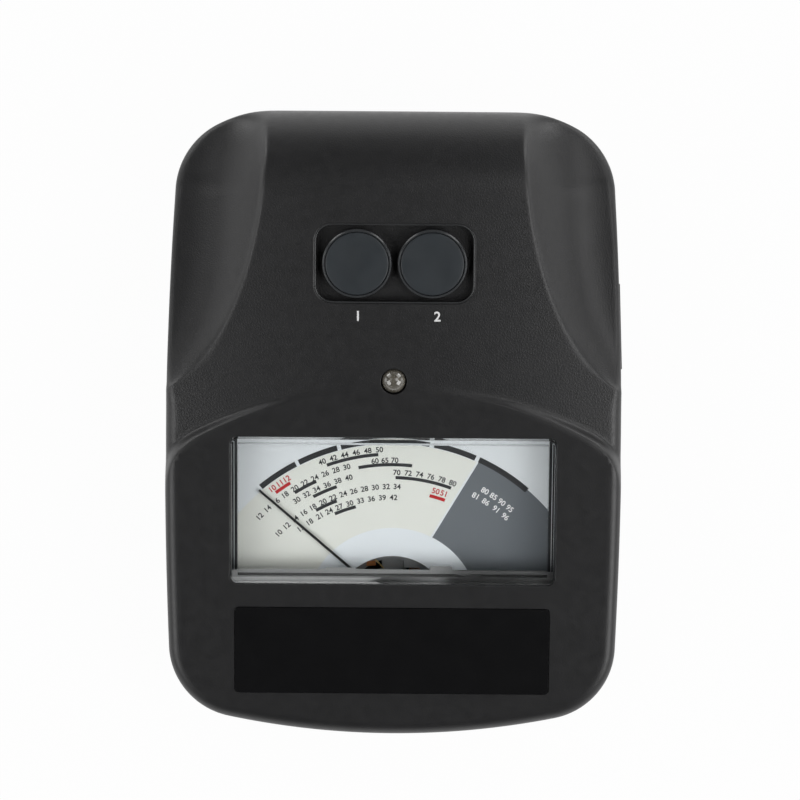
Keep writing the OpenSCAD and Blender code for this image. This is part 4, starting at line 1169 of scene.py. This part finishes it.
def key_mark(text, u):
    """Number printed on the crowned top in front of a button."""
    z = float(body_z(np.array([u]), np.array([KEY_MARK_Y]))[0])
    n = -KEY_MARK_Y * SIN + (z - FACE_Z0) * COS
    return digits(text, KEY_MARK_CAP, u, along_face(KEY_MARK_Y, z), n + KEY_MARK_LIFT, 0, KEY_MARK_THICK)


marks("button_number_marks", [key_mark(*mark) for mark in KEY_MARKS], "white")


# Camera, floor and light

scene = bpy.context.scene
camera = linked("camera", bpy.data.cameras.new("camera"))
camera.location = (0.0015, 0.0059, 0.9)
camera.rotation_euler = (0, 0, math.radians(0.45))
camera.data.lens, camera.data.sensor_width = 162.9, 36.0
camera.data.clip_start, camera.data.clip_end = 0.05, 20.0
scene.camera = camera


def paler(tree, shaded, seen, share):
    """Mixes in plain white for rays from the camera and for rays that mirrors and glass send on."""
    path = tree.nodes.new("ShaderNodeLightPath")
    ray = path.outputs["Is Camera Ray"]
    for other in ("Is Glossy Ray", "Is Transmission Ray"):
        ray = arithmetic(tree, "MAXIMUM", ray, path.outputs[other])
    return mix_shaders(tree, arithmetic(tree, "MULTIPLY", ray, share), shaded, seen)


floor_mat, tree, bsdf = shader("pale_floor", Base_Color=(0.86, 0.86, 0.86, 1), Roughness=0.9)
glow = tree.nodes.new("ShaderNodeEmission")
surface = paler(tree, bsdf.outputs["BSDF"], glow.outputs["Emission"], FLOOR_WHITE)
tree.links.new(surface, tree.nodes["Material Output"].inputs["Surface"])
sheet = bpy.data.meshes.new("floor")
sheet.from_pydata([(-4, -4, 0), (4, -4, 0), (4, 4, 0), (-4, 4, 0)], [], [(0, 1, 2, 3)])
sheet.materials.append(floor_mat)
floor = linked("floor", sheet)

world = bpy.data.worlds.new("studio")
world.use_nodes = True
scene.world = world
tree = world.node_tree
sky = tree.nodes["Background"]
way = tree.nodes.new("ShaderNodeTexCoord").outputs["Generated"]
split = node(tree, "ShaderNodeSeparateXYZ", way)
fade = two_tone(tree, split.outputs["Z"], (SKY_LOW,) * 3, (0.0,) * 3, 0.0, SKY_TOP_Z)
tree.links.new(fade, sky.inputs["Color"])
white = node(tree, "ShaderNodeBackground", Color=(1, 1, 1, 1))
seen = tree.nodes.new("ShaderNodeLightPath").outputs["Is Camera Ray"]
backdrop = mix_shaders(tree, seen, sky.outputs["Background"], white.outputs["Background"])
tree.links.new(backdrop, tree.nodes["World Output"].inputs["Surface"])


def softbox(name, at, size, watts):
    """Square lamp of size metres that looks at the object."""
    lamp = bpy.data.lights.new(name, "AREA")
    lamp.shape, lamp.size, lamp.energy = "SQUARE", size, watts
    o = linked(name, lamp)
    o.location = at
    o.rotation_euler = (Vector(LIGHT_AIM) - Vector(at)).to_track_quat("-Z", "Y").to_euler()


# Pairs of softboxes: place of the right-hand one and edge in metres, watts on the left and the right
for name, (x, y, z), size, left_watts, right_watts in (
    ("front", (0.68, -0.36, 0.63), 0.6, 3.05, 3.9),
    ("back", (0.6, 0.6, 0.5), 0.5, 0.75, 1.2),
    ("back_low", (0.67, 0.67, 0.2), 0.4, 1.2, 1.1),
    ("low", (0.95, 0.05, 0.25), 0.4, 0.5, 0.5),
    ("high", (0.45, 0.1, 0.88), 0.45, 0.25, 1.1),
):
    softbox(f"left_{name}_softbox", (-x, y, z), size, left_watts)
    softbox(f"right_{name}_softbox", (x, y, z), size, right_watts)

scene.view_settings.view_transform = "Standard"
